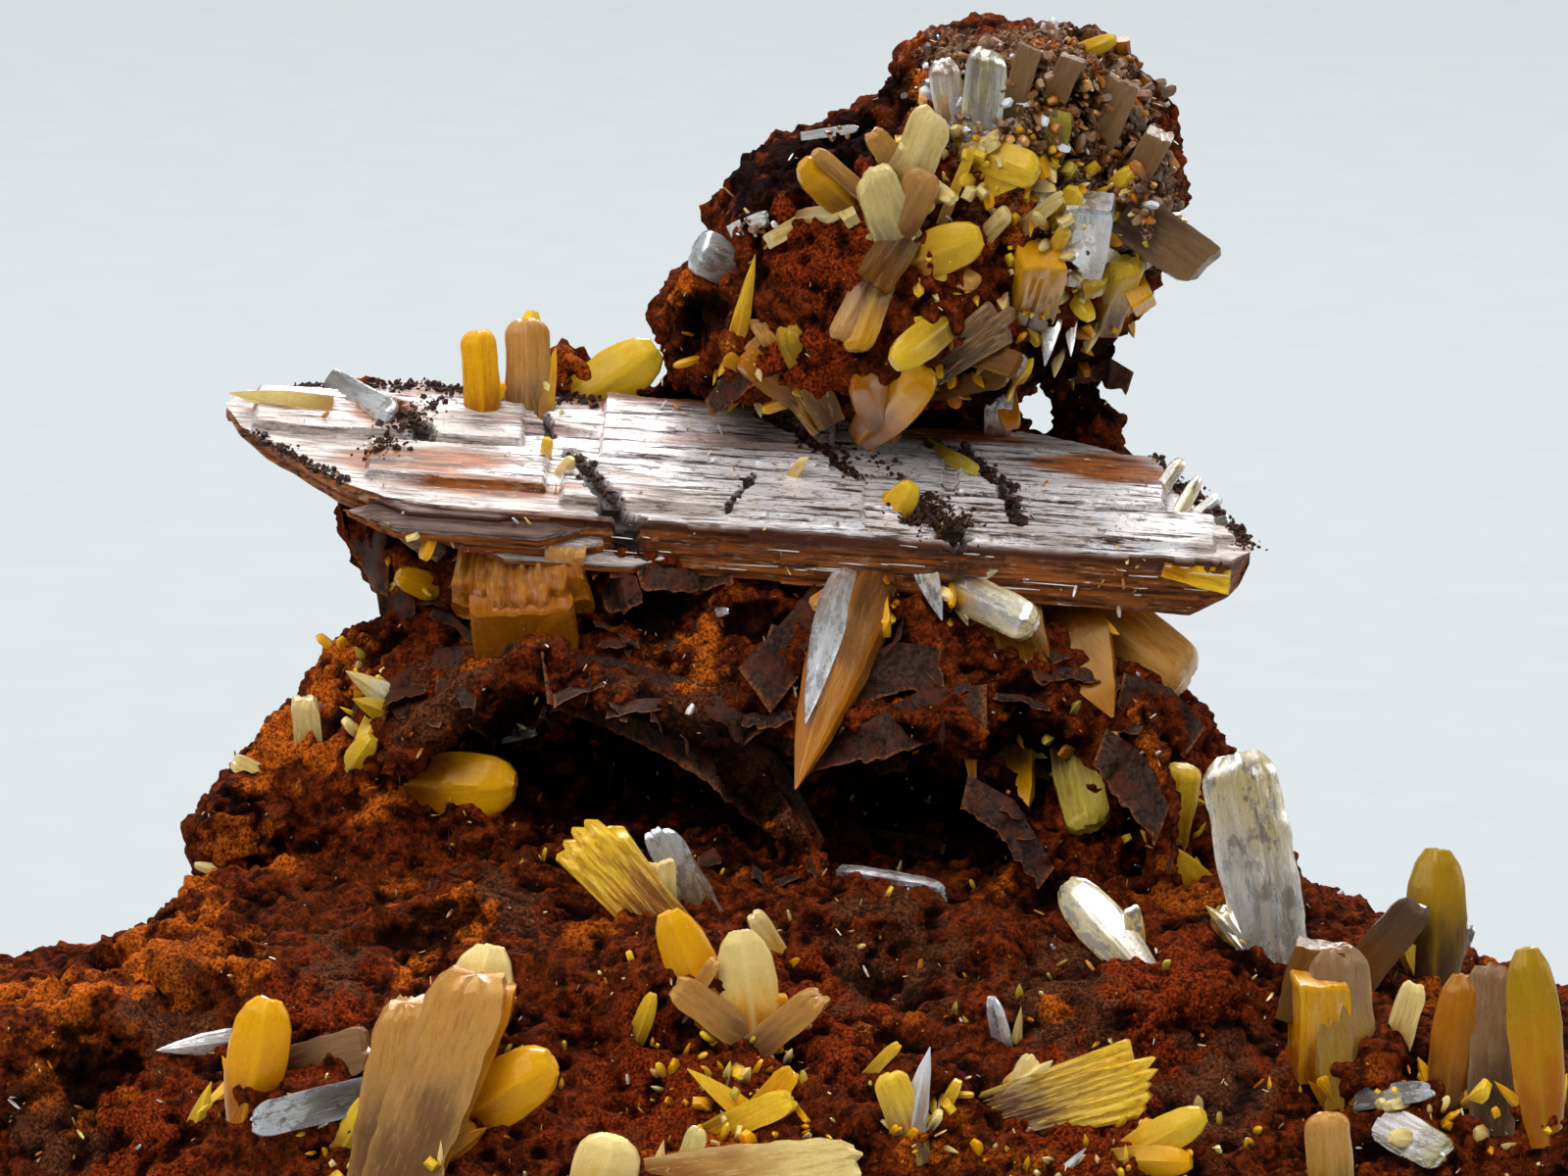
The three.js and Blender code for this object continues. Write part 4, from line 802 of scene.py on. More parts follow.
def grow_sheaf(growth, root, tip, width, thick, blades, facing, colours):
    """Blades grown together side by side: one ribbed slab whose end steps from blade to blade."""
    length = np.linalg.norm(tip - root)
    share = np.linspace(0, 1, SHEAF_RINGS)[:, None]
    angle = np.linspace(0, 2 * math.pi, SHEAF_AROUND, endpoint=False)
    across, square, corner = section(4, 0.15, angle)
    placed = (across + 1) / 2 * blades
    blade = np.minimum(placed.astype(int), blades - 1)
    within = placed - blade
    reach = 1 - 0.16 * np.abs(2 * (blade + 0.5) / blades - 1) ** 1.5
    reach = reach - RANDOM.uniform(0, 0.11, blades)[blade] - 0.08 * np.abs(within - 0.3)
    rise = RANDOM.uniform(0.78, 1.0, blades)[blade]
    lobe = np.sqrt(np.clip(1 - (2 * within - 1) ** 2, 0, 1))
    own = RANDOM.uniform(0, 200, 3)
    x = width / 2 * across * (0.80 + 0.26 * share)
    z = share * length * (1 - (1 - reach) * smoothstep(0.3, 1, share))
    y = thick / 2 * square * rise * (0.88 + 0.12 * lobe) * (1 - 0.6 * smoothstep(0.85, 1.0, share))
    y = y * (1 + ribbed(width / 2 * across + 0 * share, y, z, 0.3, own, 0.13))
    local = np.stack([x, y, z], axis=-1)
    edge = np.maximum(corner, smoothstep(0.93, 1.0, share))
    growth.add(root + local @ crystal_frame(root, tip, facing),
               growth.looks_of(local, share, edge, own, colours))


def rolled(facing, axis, degrees):
    turn = Matrix.Rotation(math.radians(degrees), 3, Vector(axis))
    return np.array(turn @ Vector(facing))


def clusters(table):
    """Reads a table of crystals, which the next section explains."""
    found = {}
    for line in filter(None, table.splitlines()):
        if ":" in line:
            name, words = line.split(":")
            tint, *words = words.split()
            foot = tuple(map(float, words[-2:])) if "foot" in words else None
            found[name] = {"tint": tint, "clear": "clear" in words, "foot": foot, "crystals": []}
        else:
            *sizes, habit, root, tip = line.split()[:9]
            x0, y0, x1, y1, width, thick = map(float, sizes)
            words = dict(word.split("=") for word in line.split()[9:])
            stance = {key: json.loads(value) for key, value in words.items()}
            found[name]["crystals"].append({
                "root": (x0, y0), "tip": (x1, y1), "width": width, "thick": thick, "habit": habit,
                "colours": [root, tip], **STANCE, **stance})
    return found


def seat_crystal(growth, spec, foot, trees):
    """Grows a crystal of the list where its root meets the surface, as seen from the front."""
    # Crystals on the knob get painted shade.
    growth.dust = KNOB_PAINTED_SHADE if spec["root"][1] > KNOB_FOOT else 1.0
    seat = surface_at(trees, *(foot or spec["root"]))
    away = spec["away"] if spec["away"] is not None else seat[0] + spec["settled"] * spec["thick"]
    under = surface_at(trees, *spec["tip"])
    clear = under[0] - spec["lift"] if under else math.inf
    root = place(*spec["root"], away)
    tip = place(*spec["tip"], min(away - spec["lean"], clear))
    axis = unit(tip - root)
    start = root - ROOT_SUNK * axis
    facing = rolled(-AWAY, axis, spec["roll"])
    if spec["habit"] == "sheaf":
        grow_sheaf(growth, start, tip, spec["width"], spec["thick"], spec["blades"], facing,
                   spec["colours"])
    else:
        grow(growth, start, tip, spec["width"], spec["thick"], spec["habit"], facing,
             colours=spec["colours"])
    if spec["young"] and spec["width"] > YOUNG_ABOVE:
        add_young(growth, root, tip, spec["width"], facing)


def add_young(growth, root, tip, width, facing):
    """Small crystals that stand round the foot of a large one."""
    axis, length = unit(tip - root), np.linalg.norm(tip - root)
    side = unit(np.cross(axis, facing))
    for _ in range(RANDOM.integers(2, 5)):
        turn = RANDOM.choice([-1, 1]) * RANDOM.uniform(0.35, 0.9)
        direction = unit(axis + turn * side + RANDOM.uniform(0, 0.4) * facing)
        reach = RANDOM.uniform(0.25, 0.45) * min(length, 2.2 * width)
        start = root + side * turn * width * 0.35 - 0.25 * reach * direction
        grow(growth, start, start + 1.2 * reach * direction, reach * RANDOM.uniform(0.3, 0.5),
             reach * RANDOM.uniform(0.2, 0.35), str(RANDOM.choice(["spear", "tooth", "slab"])),
             rolled(facing, direction, RANDOM.uniform(-40, 40)), rings=14, around=16)


# ---------------------------------------------------------------- the crystals, place by place

# A line with a colon opens a cluster: the node it replaces, its tint, whether it is clear, and
# where it is seated if not at its roots. Each line under it is a crystal: its root and its tip,
# across and up on the display side, its width, thickness and habit, its colours at the root and at
# the tip, and what differs from STANCE.
ON_THE_LATH = """
lath_top_prism: yellow
  -9.3 23.6 -9.35 26 1.15 1 prism amber yellow lean=0
lath_top_grey_crystal: pale
  -7.9 23.5 -7.9 26.3 1.4 1 prism mauve tan lean=0
  -7.5 23.5 -7 25.4 0.9 0.8 tooth mauve yellow lean=0
lath_top_lens: yellow
  -6.3 23.8 -3.9 25.4 1.8 1.2 lens olive lemon lean=0.4
"""

ON_THE_KNOB = """
knob_left_clear_crystal: pale clear
  -1.5 27.9 -2.8 28.4 1.5 1.3 prism tan silver
knob_left_lens: yellow
  2 29.8 0.55 31 1.3 1 lens umber yellow lean=1
knob_pale_sheaf: pale
  3.3 29.4 4.6 32.6 1.4 0.9 prism umber ivory lean=1
  3.5 28.7 2.6 30.8 1.5 0.8 slab smoke ivory lean=1.2
  3.3 28.7 4.4 30.7 1.2 0.7 prism umber tan lean=1.2
knob_middle_lens: yellow
  4.2 28.1 6 28.8 1.5 0.7 lens amber lemon lean=1
knob_upper_prism: yellow
  5.8 31.4 7.8 30.7 1.2 0.8 prism olive lemon lean=0.9
knob_olive_block: olive
  7.5 26.9 7.9 28.3 1.5 1.4 block umber yellow lean=1.2 roll=25
knob_right_prism: olive
  10 26.8 10.4 28.1 1.3 1 prism umber lemon lean=1.2
knob_lower_pair: pale
  2.9 27.2 2.2 25.2 1 0.8 prism smoke yellow lean=0.6
  2.4 27.1 1.6 25.6 0.8 0.7 prism mauve tan lean=0.6
knob_bright_lens: yellow
  4.7 25.9 3.3 24.9 1.2 0.7 lens olive lemon lean=1
knob_grey_sheaf: brown
  5.4 25.3 7.1 26.5 1.4 0.9 sheaf smoke mauve blades=3 lean=1
  5.9 25.2 7.4 24.7 0.9 0.7 slab smoke umber lean=1
knob_foot_pair: yellow foot 3 23.8
  3 23.2 2.3 24.5 1.3 0.9 lens umber amber lean=1.6 young=false
  2.9 23.2 4.3 24.8 1.7 0.9 lens amber yellow lean=1.2 young=false
knob_spear: yellow
  -1.4 25.8 -0.8 28.2 0.6 0.5 spear yellow lemon lean=0.6
knob_striated_sheaf: pale
  0.7 23.9 -1.1 26.5 1.5 0.9 sheaf olive tan blades=3 lean=1.2
  1 24 0 26 1 0.8 slab umber olive lean=1.4
knob_grey_tip: pale
  11.3 28.9 13 27.7 1.7 0.9 slab smoke mauve lean=0
knob_clear_prism: pale clear
  9.2 28.4 9.5 29.9 1.5 1.1 block tan silver lean=0.8
"""

UNDER_THE_LATH = """
shelf_block: brown
  -8 19.4 -8 16.4 4.2 2.6 sheaf tan amber blades=7 away=2 lean=0.4 roll=8
  -6.6 19.3 -6.6 18 1.3 2.7 block olive tan away=1.95 lean=0.2 roll=-3 young=false
  -7.95 17.2 -7.95 16.2 3.2 2.65 block tan amber away=1.75 lean=0.2 roll=5 young=false
shelf_white_spear: pale clear
  -10.6 19.2 -12.3 19.9 0.8 0.6 spear silver ivory lean=0.8
shelf_left_lens: yellow
  -10.9 18 -11.9 18.4 0.9 0.8 lens olive yellow lean=0.6
hanging_dagger: brown
  2.5 18 0.15 11.9 2.2 1.4 spear umber amber lean=4.4 roll=24
hanging_pale_tooth: pale clear
  4.4 18.3 4.8 17 0.9 0.6 tooth ivory silver lean=0.5
hanging_silver_prism: pale clear
  5.5 17.9 7.7 16.8 1.3 0.9 prism mauve ivory lean=1.6
hanging_brown_plates: brown
  6.9 16.6 7.8 13.7 2.5 0.9 tooth umber amber lean=1.4 settled=-0.2
  8.7 16.9 10 14 2.5 0.9 tooth umber amber lean=1.4 settled=-0.2
right_golden_prism: yellow
  9.6 17.2 12.3 15 2.3 1.6 prism amber tan lean=0.6
cavity_triangle: olive
  6.9 12.9 7.4 11.2 1.7 0.9 tooth umber yellow lean=0.6
cavity_olive_prism: olive
  8.9 12.7 9.3 10.6 1.5 1 prism smoke green lean=1.2 settled=-0.1
"""

RIGHT_FOOT = """
right_green_prism: olive
  11.9 10.9 12.2 12.6 1.3 1 prism olive lemon
right_yellow_tooth: yellow
  12.5 9 10.9 10.6 1.3 0.9 tooth yellow lemon lean=0.8
right_tall_slab: pale clear
  14.75 7.2 13.75 13.1 2.4 1.6 prism silver ivory lean=0.4
right_white_prism: pale clear
  10.4 6.9 8.5 9 1.6 1 lens ivory ivory lean=-1.2
middle_white_flake: pale clear
  2.7 9 4.9 8.65 0.9 0.5 slab silver silver lift=0.6 roll=30
right_twin_slab: brown foot 16.4 4
  17 2.5 16.6 7.3 1.9 1.1 prism olive mauve lean=0.6 roll=20
  16.1 4.4 16.1 6.4 1.6 1.4 block orange yellow lean=0.9 roll=14 young=false
  15.8 6 16.2 7.3 1.6 1.1 block umber umber lean=0.4 young=false
right_green_slab: olive
  16.4 0.2 16.2 2.3 1.4 1 prism olive tan lean=0.8
right_white_flake: pale clear
  17.6 2.7 19.5 3 0.7 0.45 slab silver silver lift=0.5
rear_tall_prism: yellow
  19.7 6 19.9 10.1 1.9 1.3 lens smoke olive lean=0
rear_cluster: yellow
  19.9 2.8 20.4 6.4 1.4 1.2 lens umber amber lean=0.4
  22.8 2.3 22.3 7.2 1.7 1.3 lens orange olive lean=0.4
  21.3 2.4 21.3 6.8 1.5 1 slab smoke mauve lean=0.2
  20.6 3.4 23 3.4 1.3 1 lens amber yellow lift=0.6
"""

LEFT_SLOPE = """
slope_pale_pair: pale
  -12.2 14.7 -13.4 15.5 0.9 0.7 spear silver ivory lean=0.8
  -12.2 14.2 -13.2 14.6 0.9 0.7 spear olive lemon lean=0.8
slope_green_lens: olive
  -13.4 12.3 -12.5 13.4 0.9 0.7 lens olive lemon lean=0.6
cavity_gem: yellow
  -10.6 12 -8.2 11.9 2.1 1.6 lens amber yellow lift=0.6
"""

FRONT_OF_THE_MOUND = """
front_striated_sheaf: pale
  -4 8.1 -6.6 11.1 2.1 1 sheaf tan lemon blades=5 lean=0.6
front_white_spears: pale clear
  -2.6 8.4 -3.85 10.8 1.2 0.7 slab yellow silver lean=0.5 young=false
  -3.3 9 -4.2 10.4 0.6 0.5 tooth yellow silver lean=0.4
front_cluster: yellow foot -1.4 5.6
  -2.2 5.3 -3.4 8.3 1.6 1.2 lens orange yellow lean=0.6
  -0.9 4.8 -1.3 7.7 1.8 1.1 lens yellow ivory lean=0.6
  -1.3 4.6 -3.3 6.2 1.1 0.8 slab mauve tan lean=1
  -0.8 4.2 1.1 5.8 1 0.8 slab mauve tan lean=1
front_small_cluster: yellow
  -1.6 1.9 0.2 2.8 0.9 0.7 slab olive lemon lean=0.6
  -1.3 2.4 -2.9 3.6 0.8 0.6 tooth yellow lemon lean=0.6
  -0.9 2.2 0.4 3.6 0.8 0.6 slab olive yellow lean=0.6
left_white_spear: pale clear
  -17.1 4.3 -18.9 4.1 0.8 0.6 spear silver silver lift=0.5
left_yellow_lens: yellow
  -16 3 -15.4 5.7 1.9 1.3 lens orange yellow lean=0.6
  -16.2 3.3 -17.7 2.3 0.7 0.6 spear olive lemon lift=0.5
left_silver_flake: pale clear
  -13.5 2.6 -16 1.9 1.1 0.6 slab smoke silver lift=0.5
front_twin: brown
  -11.3 1 -9.3 6.7 2.5 1.7 slab mauve tan lean=0.8
  -12.2 1 -11.3 5.8 1.7 1.5 slab mauve tan lean=0.7 young=false
  -10.4 1.2 -8.35 6.3 1.1 1.3 slab amber orange lean=0.5 young=false
  -9.8 3.4 -8.85 7.3 2.1 1.9 lens amber ivory lean=1 young=false
front_yellow_oval: yellow
  -9.4 2.3 -6.9 3.8 2 1.4 lens orange yellow lean=1.2
front_low_lens: yellow
  -5.5 0 -5 1.6 2.1 1.4 lens yellow ivory lean=0.8
front_low_slab: pale
  -3 0.4 2.4 1 1.6 0.9 slab tan ivory lift=0.6
front_pale_pair: pale
  3.7 1.8 3.1 3.5 1.1 0.8 prism mauve lemon lean=0.6
  3.8 1.8 4.2 4.3 0.9 0.7 spear mauve silver lean=0.6
front_wide_sheaf: pale
  6.8 2.2 11.5 3.6 2.3 1 sheaf mauve lemon blades=7 lean=1.4
front_yellow_pair: yellow
  10.6 1.2 12.6 2.2 1.2 0.9 lens yellow lemon lean=0.8
  10.6 0.9 12.2 0.9 1 0.8 lens olive yellow lift=0.5
"""

# Crystals that are in no node of their own. The pale slabs on the dagger and at the rear are
# painted reflections.
MINOR_ONES = """
knob_minor: yellow
  9.2 34.5 10.2 34.9 0.6 0.5 lens yellow lemon
  6.2 30.3 7.4 30.8 0.8 0.5 slab yellow lemon
  10.1 30.1 10.7 30.9 0.8 0.6 lens olive lemon
  8.5 29.3 9 30.3 0.8 0.6 slab olive lemon
  6.3 28.9 6.9 29.5 0.6 0.5 prism tan ivory
  0.9 29.4 1.7 29.5 0.6 0.4 lens tan ivory
  2.5 30 1 31.4 0.55 0.5 prism mauve tan lean=1
  7.5 29.2 8.5 30.1 0.5 0.4 slab tan ivory lean=0.8
  5.6 31.3 6.6 31.7 0.6 0.5 slab tan ivory lean=0.8
  0.3 24 -1.3 25 1.1 0.6 slab umber amber lean=0.8
  4.4 30.4 5.2 29.8 0.5 0.4 slab tan ivory lean=1
  1.6 30.1 2.1 29.2 0.5 0.4 block yellow ivory lean=0.8
  8.3 28.4 8.6 29 0.5 0.4 prism olive lemon lean=0.8
  6.8 23.9 7 22.9 0.7 0.5 slab umber amber lean=0.4
  9.6 27.9 9.5 26.9 0.8 0.6 slab umber olive lean=0.6
  0 28.9 -0.5 28.6 0.5 0.4 block tan ivory lean=0.3
  5 29.6 5.8 31.6 0.35 0.3 slab tan lemon lean=0.5
  3.4 31 2.6 32 0.8 0.6 slab mauve tan
  10.6 27.6 11.1 26.6 0.8 0.7 block olive yellow
  5.2 27.6 5.9 27.2 0.7 0.5 prism olive tan
  8.9 27 9.4 26.2 0.7 0.5 lens olive lemon
knob_grey: brown
  3.6 28.7 2.7 27.2 1.3 0.7 block smoke umber
  7 32.7 7.6 34.6 0.8 0.8 block smoke mauve
  8.3 33 8.8 34.3 0.8 0.6 block umber mauve
  10.9 30.8 11.5 32 0.9 0.7 block umber mauve
  9.7 32 10.4 33.6 1.2 0.7 block umber mauve
  8.2 31.4 8.6 32.6 0.9 0.6 slab smoke green
  5.1 24.3 7 24.6 1 0.6 slab umber umber
knob_clear: pale clear
  8.2 26.1 8 24.8 0.7 0.5 spear ivory silver
  8.8 26.1 8.8 25.1 0.5 0.4 spear ivory silver
  6.6 22.8 6.7 23.9 0.9 0.7 block tan silver
  1.4 32 2.3 32.1 0.3 0.2 slab silver silver
  5.2 31.9 4.9 34.2 1 0.8 prism smoke tan
  6 31.7 6.3 34.5 1.3 0.9 prism smoke green
  9.9 27.9 8.9 28.6 1.1 0.8 block olive silver
  7.7 30 8.4 29.7 0.5 0.4 slab silver silver
  11.1 28.2 11.6 28.6 0.7 0.5 block silver silver
  -1 29.2 -0.5 29.4 0.5 0.3 slab silver silver
lath_minor: yellow
  3.4 20.4 3.95 21.2 1 0.6 lens yellow lemon
  12.7 18.4 13.7 18.1 0.8 0.7 block yellow lemon lean=0
  -15 23.7 -17.1 24 0.8 0.5 tooth ivory ivory lean=0 young=false
  -7.35 22 -7.25 22.6 0.4 0.3 prism olive lemon
  -6.8 21.5 -6.5 22 0.5 0.4 lens tan ivory
  -8.2 23.6 -7.8 26.6 0.9 0.7 lens yellow lemon lean=0
  4.8 22.2 6 21.6 0.5 0.3 slab olive green
  0.3 21.5 0.7 22 0.35 0.3 slab tan ivory
lath_clear: pale clear
  -13.3 24 -12 23.3 0.9 0.5 prism smoke silver lean=0.2
  11.5 20.9 12.2 22 0.5 0.4 prism tan ivory lean=0
  12.2 20.4 12.8 21.4 0.5 0.4 lens green ivory lean=0
  12.9 20.4 13.4 20.8 0.45 0.4 prism ivory silver lean=0
  13.2 19.9 13.7 20.1 0.4 0.3 slab ivory silver lean=0
dagger_face: pale clear foot 2.5 18
  1.65 17.7 0.5 13.9 1.1 0.9 spear silver silver lean=3.2 settled=-0.35 roll=10 young=false
rear_glare: pale clear foot 19.7 6.4
  20 7 19.8 9.3 0.7 0.4 slab silver silver lean=0.2 settled=-1.2 young=false
  20.3 6.6 20.9 7.8 0.5 0.4 slab silver silver lean=0.2 settled=-0.9 young=false
slope_minor: pale
  -14.6 13.3 -14.7 14.7 0.9 0.6 slab tan ivory
  -16.2 12.3 -17 12.7 0.7 0.5 slab ivory ivory lean=0
  -17.2 9.3 -18.1 9.5 0.4 0.3 lens ivory ivory lean=0
  -12.6 13.9 -13.1 12.9 0.7 0.5 lens olive lemon
slope_clear: pale clear
  -8.7 13.4 -7.6 13.6 0.4 0.3 slab silver silver
  -14.2 14.2 -14.9 14.6 0.5 0.4 slab silver silver
  -2.6 17.2 -1.7 17.3 0.3 0.2 slab silver silver
  6.6 4.3 6.3 5.7 0.6 0.5 lens smoke silver
  8.5 0.7 9 1.3 0.4 0.3 spear silver silver
  18.8 1.5 19.9 0.9 1.3 0.6 slab silver green
front_minor: yellow
  7 4.4 7.1 5.4 0.4 0.3 spear green ivory
  -4.4 4.5 -3.9 5.8 0.6 0.4 lens olive lemon
  -13.1 1.4 -12.3 2.7 0.9 0.6 lens olive lemon
  -17.6 2.1 -17.2 3.2 0.6 0.4 spear olive lemon
  18.5 4.5 19 6.2 0.9 0.6 slab tan ivory
  5.7 12.9 5.9 11.6 0.5 0.4 tooth umber amber
  -10.3 0.3 -10.2 1.5 0.35 0.3 spear yellow ivory
  6.9 2.5 7.5 4 0.8 0.5 slab green ivory
  2.7 3.6 3.4 4.4 0.4 0.3 slab olive lemon
  4.8 2.4 5.2 3.3 0.4 0.3 slab olive lemon
  -2.6 5.9 -2 6.8 0.5 0.4 slab mauve tan
  -0.2 7 -0.9 8.2 0.7 0.5 slab yellow ivory
  -2.9 0.7 -2.5 1.9 0.7 0.5 slab green ivory
  -3.8 0.6 -3.6 1.5 0.5 0.4 spear yellow ivory
front_dark: brown
  -14.1 3.7 -12.3 4.2 1.5 0.8 slab smoke mauve young=false
  17.1 5.9 19.3 8.6 1.3 0.8 slab umber smoke lean=0
"""

CLUSTERS = clusters(ON_THE_LATH + ON_THE_KNOB + UNDER_THE_LATH + RIGHT_FOOT + LEFT_SLOPE
                    + FRONT_OF_THE_MOUND)
MINOR = clusters(MINOR_ONES)


# ---------------------------------------------------------------- goethite leaves

# Thin dark plates. Upper and lower edge on the display side [across, up], how far the upper edge
# stands out of the rock, and how far the lower edge leans towards the viewer.
LEAVES = [
    ([(-12.9, 14.4), (-10.6, 15.9), (-6.8, 16.3)],
     [(-12.3, 12.6), (-10.2, 13.7), (-6.9, 15.5)], 0.2, 0.6),
    ([(-7.4, 15.9), (-5.2, 15.6), (-2.8, 14.9), (-0.6, 13.4), (1.2, 10.2)],
     [(-7.2, 14.5), (-4.8, 13.4), (-2.8, 12.4), (-1.0, 10.9), (0.9, 9.4)], 0.1, 0.6),
    ([(0.7, 13.2), (2.4, 13.7), (4.2, 14.7), (6.2, 14.9)],
     [(0.7, 12.4), (3.0, 12.8), (4.6, 13.3), (6.2, 13.6)], 0.4, 0.7),
    ([(5.6, 12.2), (7.0, 11.4), (8.2, 9.4)], [(5.4, 11.3), (6.6, 10.4), (7.8, 8.9)], 0.2, 0.3),
    ([(-13.9, 21.7), (-12.9, 21.5), (-11.9, 21.0)],
     [(-13.6, 19.8), (-13.0, 18.4), (-12.3, 17.6)], -0.6, 0.3),
    ([(-12.7, 18.6), (-11.4, 18.4)], [(-12.4, 16.8), (-11.3, 16.3)], -0.2, 0.2),
    ([(-5.9, 18.9), (-5.3, 19.0), (-4.7, 18.9)],
     [(-5.5, 17.4), (-4.9, 17.2), (-4.3, 17.6)], -0.2, 0.3),
    ([(-1.3, 15.4), (0.2, 17.0), (1.1, 18.2)], [(-0.4, 14.2), (0.7, 15.6), (1.4, 17.2)], 0.3, 0.4),
    ([(1.9, 15.4), (3.4, 16.2), (4.8, 16.0)], [(2.1, 14.4), (3.6, 14.8), (4.8, 14.7)], 0.3, 0.5),
    ([(-4.6, 18.9), (-3.0, 18.6), (-1.6, 18.9)],
     [(-4.4, 18.0), (-3.0, 17.8), (-1.5, 18.2)], 0.1, 0.5),
    ([(9.8, 13.6), (10.9, 12.8), (11.7, 11.2)],
     [(9.4, 12.6), (10.4, 11.4), (11.3, 10.2)], 0.3, 0.3),
    ([(10.4, 15.3), (11.8, 14.8), (12.9, 13.6)],
     [(10.2, 14.4), (11.2, 13.6), (12.3, 12.8)], 0.2, 0.4),
    ([(-6.0, 13.3), (-4.6, 12.6), (-3.6, 11.4)],
     [(-5.8, 12.7), (-4.8, 11.9), (-4.0, 10.8)], -0.4, 0.3),
    ([(1.6, 10.9), (3.2, 10.4), (5.0, 10.2)], [(1.4, 10.2), (3.0, 9.6), (4.8, 9.4)], 0.1, 0.4),
    ([(-2.4, 23.7), (-1.4, 25.0), (-0.2, 25.4)],
     [(-2.2, 23.2), (-1.2, 24.0), (-0.4, 24.6)], -0.2, 0.3),
    ([(8.6, 24.9), (9.8, 25.2), (10.8, 24.6)], [(8.8, 24.2), (9.8, 24.4), (10.6, 24.0)], -0.4, 0.3),
    ([(10.2, 22.6), (11.4, 21.4), (12.0, 20.2)],
     [(9.6, 22.0), (10.8, 20.7), (11.6, 19.8)], -0.6, 0.2),
]
LEAF_THICK = 0.16
LEAF_SUNK = 0.12               # how far a leaf goes on past its upper edge, as a share of its width
SHARDS_SPAN = (-13, 12)        # they lie between these places across the display side
SHARDS_RISE = (9.0, 19)        # and between these heights
LEAF_STEPS = (60, 26)          # points along a leaf, and down either side of it
SHARD_STEPS = (18, 9)
SHARDS = 120                   # small ragged chips of the same stuff, most of them round the hollow


def along_line(points, share):
    """Points at these shares of a line through the given points."""
    at = share * (len(points) - 1)
    return np.interp(at, range(len(points)), [x for x, _ in points]), \
        np.interp(at, range(len(points)), [y for _, y in points])


def add_leaf(growth, trees, upper, lower, proud, lean, steps=LEAF_STEPS):
    """One leaf, whose upper edge follows the rock and whose lower edge hangs ragged."""
    along, side = steps
    share = np.linspace(0, 1, along)
    upper_x, upper_y = along_line(upper, share)
    lower_x, lower_y = along_line(lower, share)
    seats = [surface_at(trees, x, y) for x, y in zip(upper_x, upper_y)]
    depths = np.array([seat[0] if seat else math.nan for seat in seats])
    depths = np.where(np.isnan(depths), np.nanmedian(depths), depths)
    depths = np.minimum(depths, np.nanmedian(depths) + 0.8)
    reach = along // 10
    window = np.ones(2 * reach + 1) / (2 * reach + 1)
    depths = np.convolve(np.pad(depths, reach, mode="edge"), window, mode="valid") - proud
    sides = [np.linspace(-LEAF_SUNK, 1, side), np.linspace(1, -LEAF_SUNK, side)]
    down = np.concatenate(sides)[None]
    outside = np.concatenate([np.ones(side), np.zeros(side)])[None]
    x = upper_x[:, None] * (1 - down) + lower_x[:, None] * down
    y = upper_y[:, None] * (1 - down) + lower_y[:, None] * down
    flat = np.stack([x, y, np.full_like(x, proud * 5)], axis=-1).reshape(-1, 3)
    wave = fractal(flat, 1.3, 3, 96).reshape(x.shape)
    notch = noise(flat, 0.33, 97).reshape(x.shape) * smoothstep(0.6, 1, down)
    x, y = x + 0.12 * notch, y + 0.17 * notch
    thick = LEAF_THICK * np.sin(math.pi * np.clip(share, 0.03, 0.97))[:, None] ** 0.3
    grit = 0.05 * fractal(flat, 0.3, 2, 98).reshape(x.shape)
    behind = thick + 0.9 * (1 - down) ** 2
    away = depths[:, None] - lean * down + 0.35 * wave + (1 - outside) * behind
    away = away + np.where(outside > 0, grit, 0)
    growth.add(place(x, y, away), {"rim": np.broadcast_to(
        np.maximum(smoothstep(0.9, 1, down), smoothstep(0.9, 1, np.abs(2 * share - 1))[:, None]),
        x.shape)[..., None]})


def add_leaves(material, trees):
    growth = Lofts()
    for leaf in LEAVES:
        add_leaf(growth, trees, *leaf)
    for _ in range(SHARDS):
        across, up = RANDOM.uniform(*SHARDS_SPAN), RANDOM.uniform(*SHARDS_RISE)
        seat = surface_at(trees, across, up)
        if seat is None:
            continue
        turn = RANDOM.uniform(0, math.pi)
        long, wide = RANDOM.uniform(0.3, 1.1), RANDOM.uniform(0.15, 0.5)
        run, rise = long * math.cos(turn), long * math.sin(turn) * 0.6
        upper = [(across - run, up - rise), (across, up + 0.1), (across + run, up + rise)]
        lower = [(x + RANDOM.normal(0, 0.1), y - wide) for x, y in upper]
        if all(surface_at(trees, x, y) for x, y in upper):
            proud, lean = RANDOM.uniform(-0.1, 0.15), RANDOM.uniform(0.2, 0.6)
            add_leaf(growth, trees, upper, lower, proud, lean, SHARD_STEPS)
    add_piece(growth.mesh("goethite_leaves"), material, sharp=50)


# ---------------------------------------------------------------- smaller growths

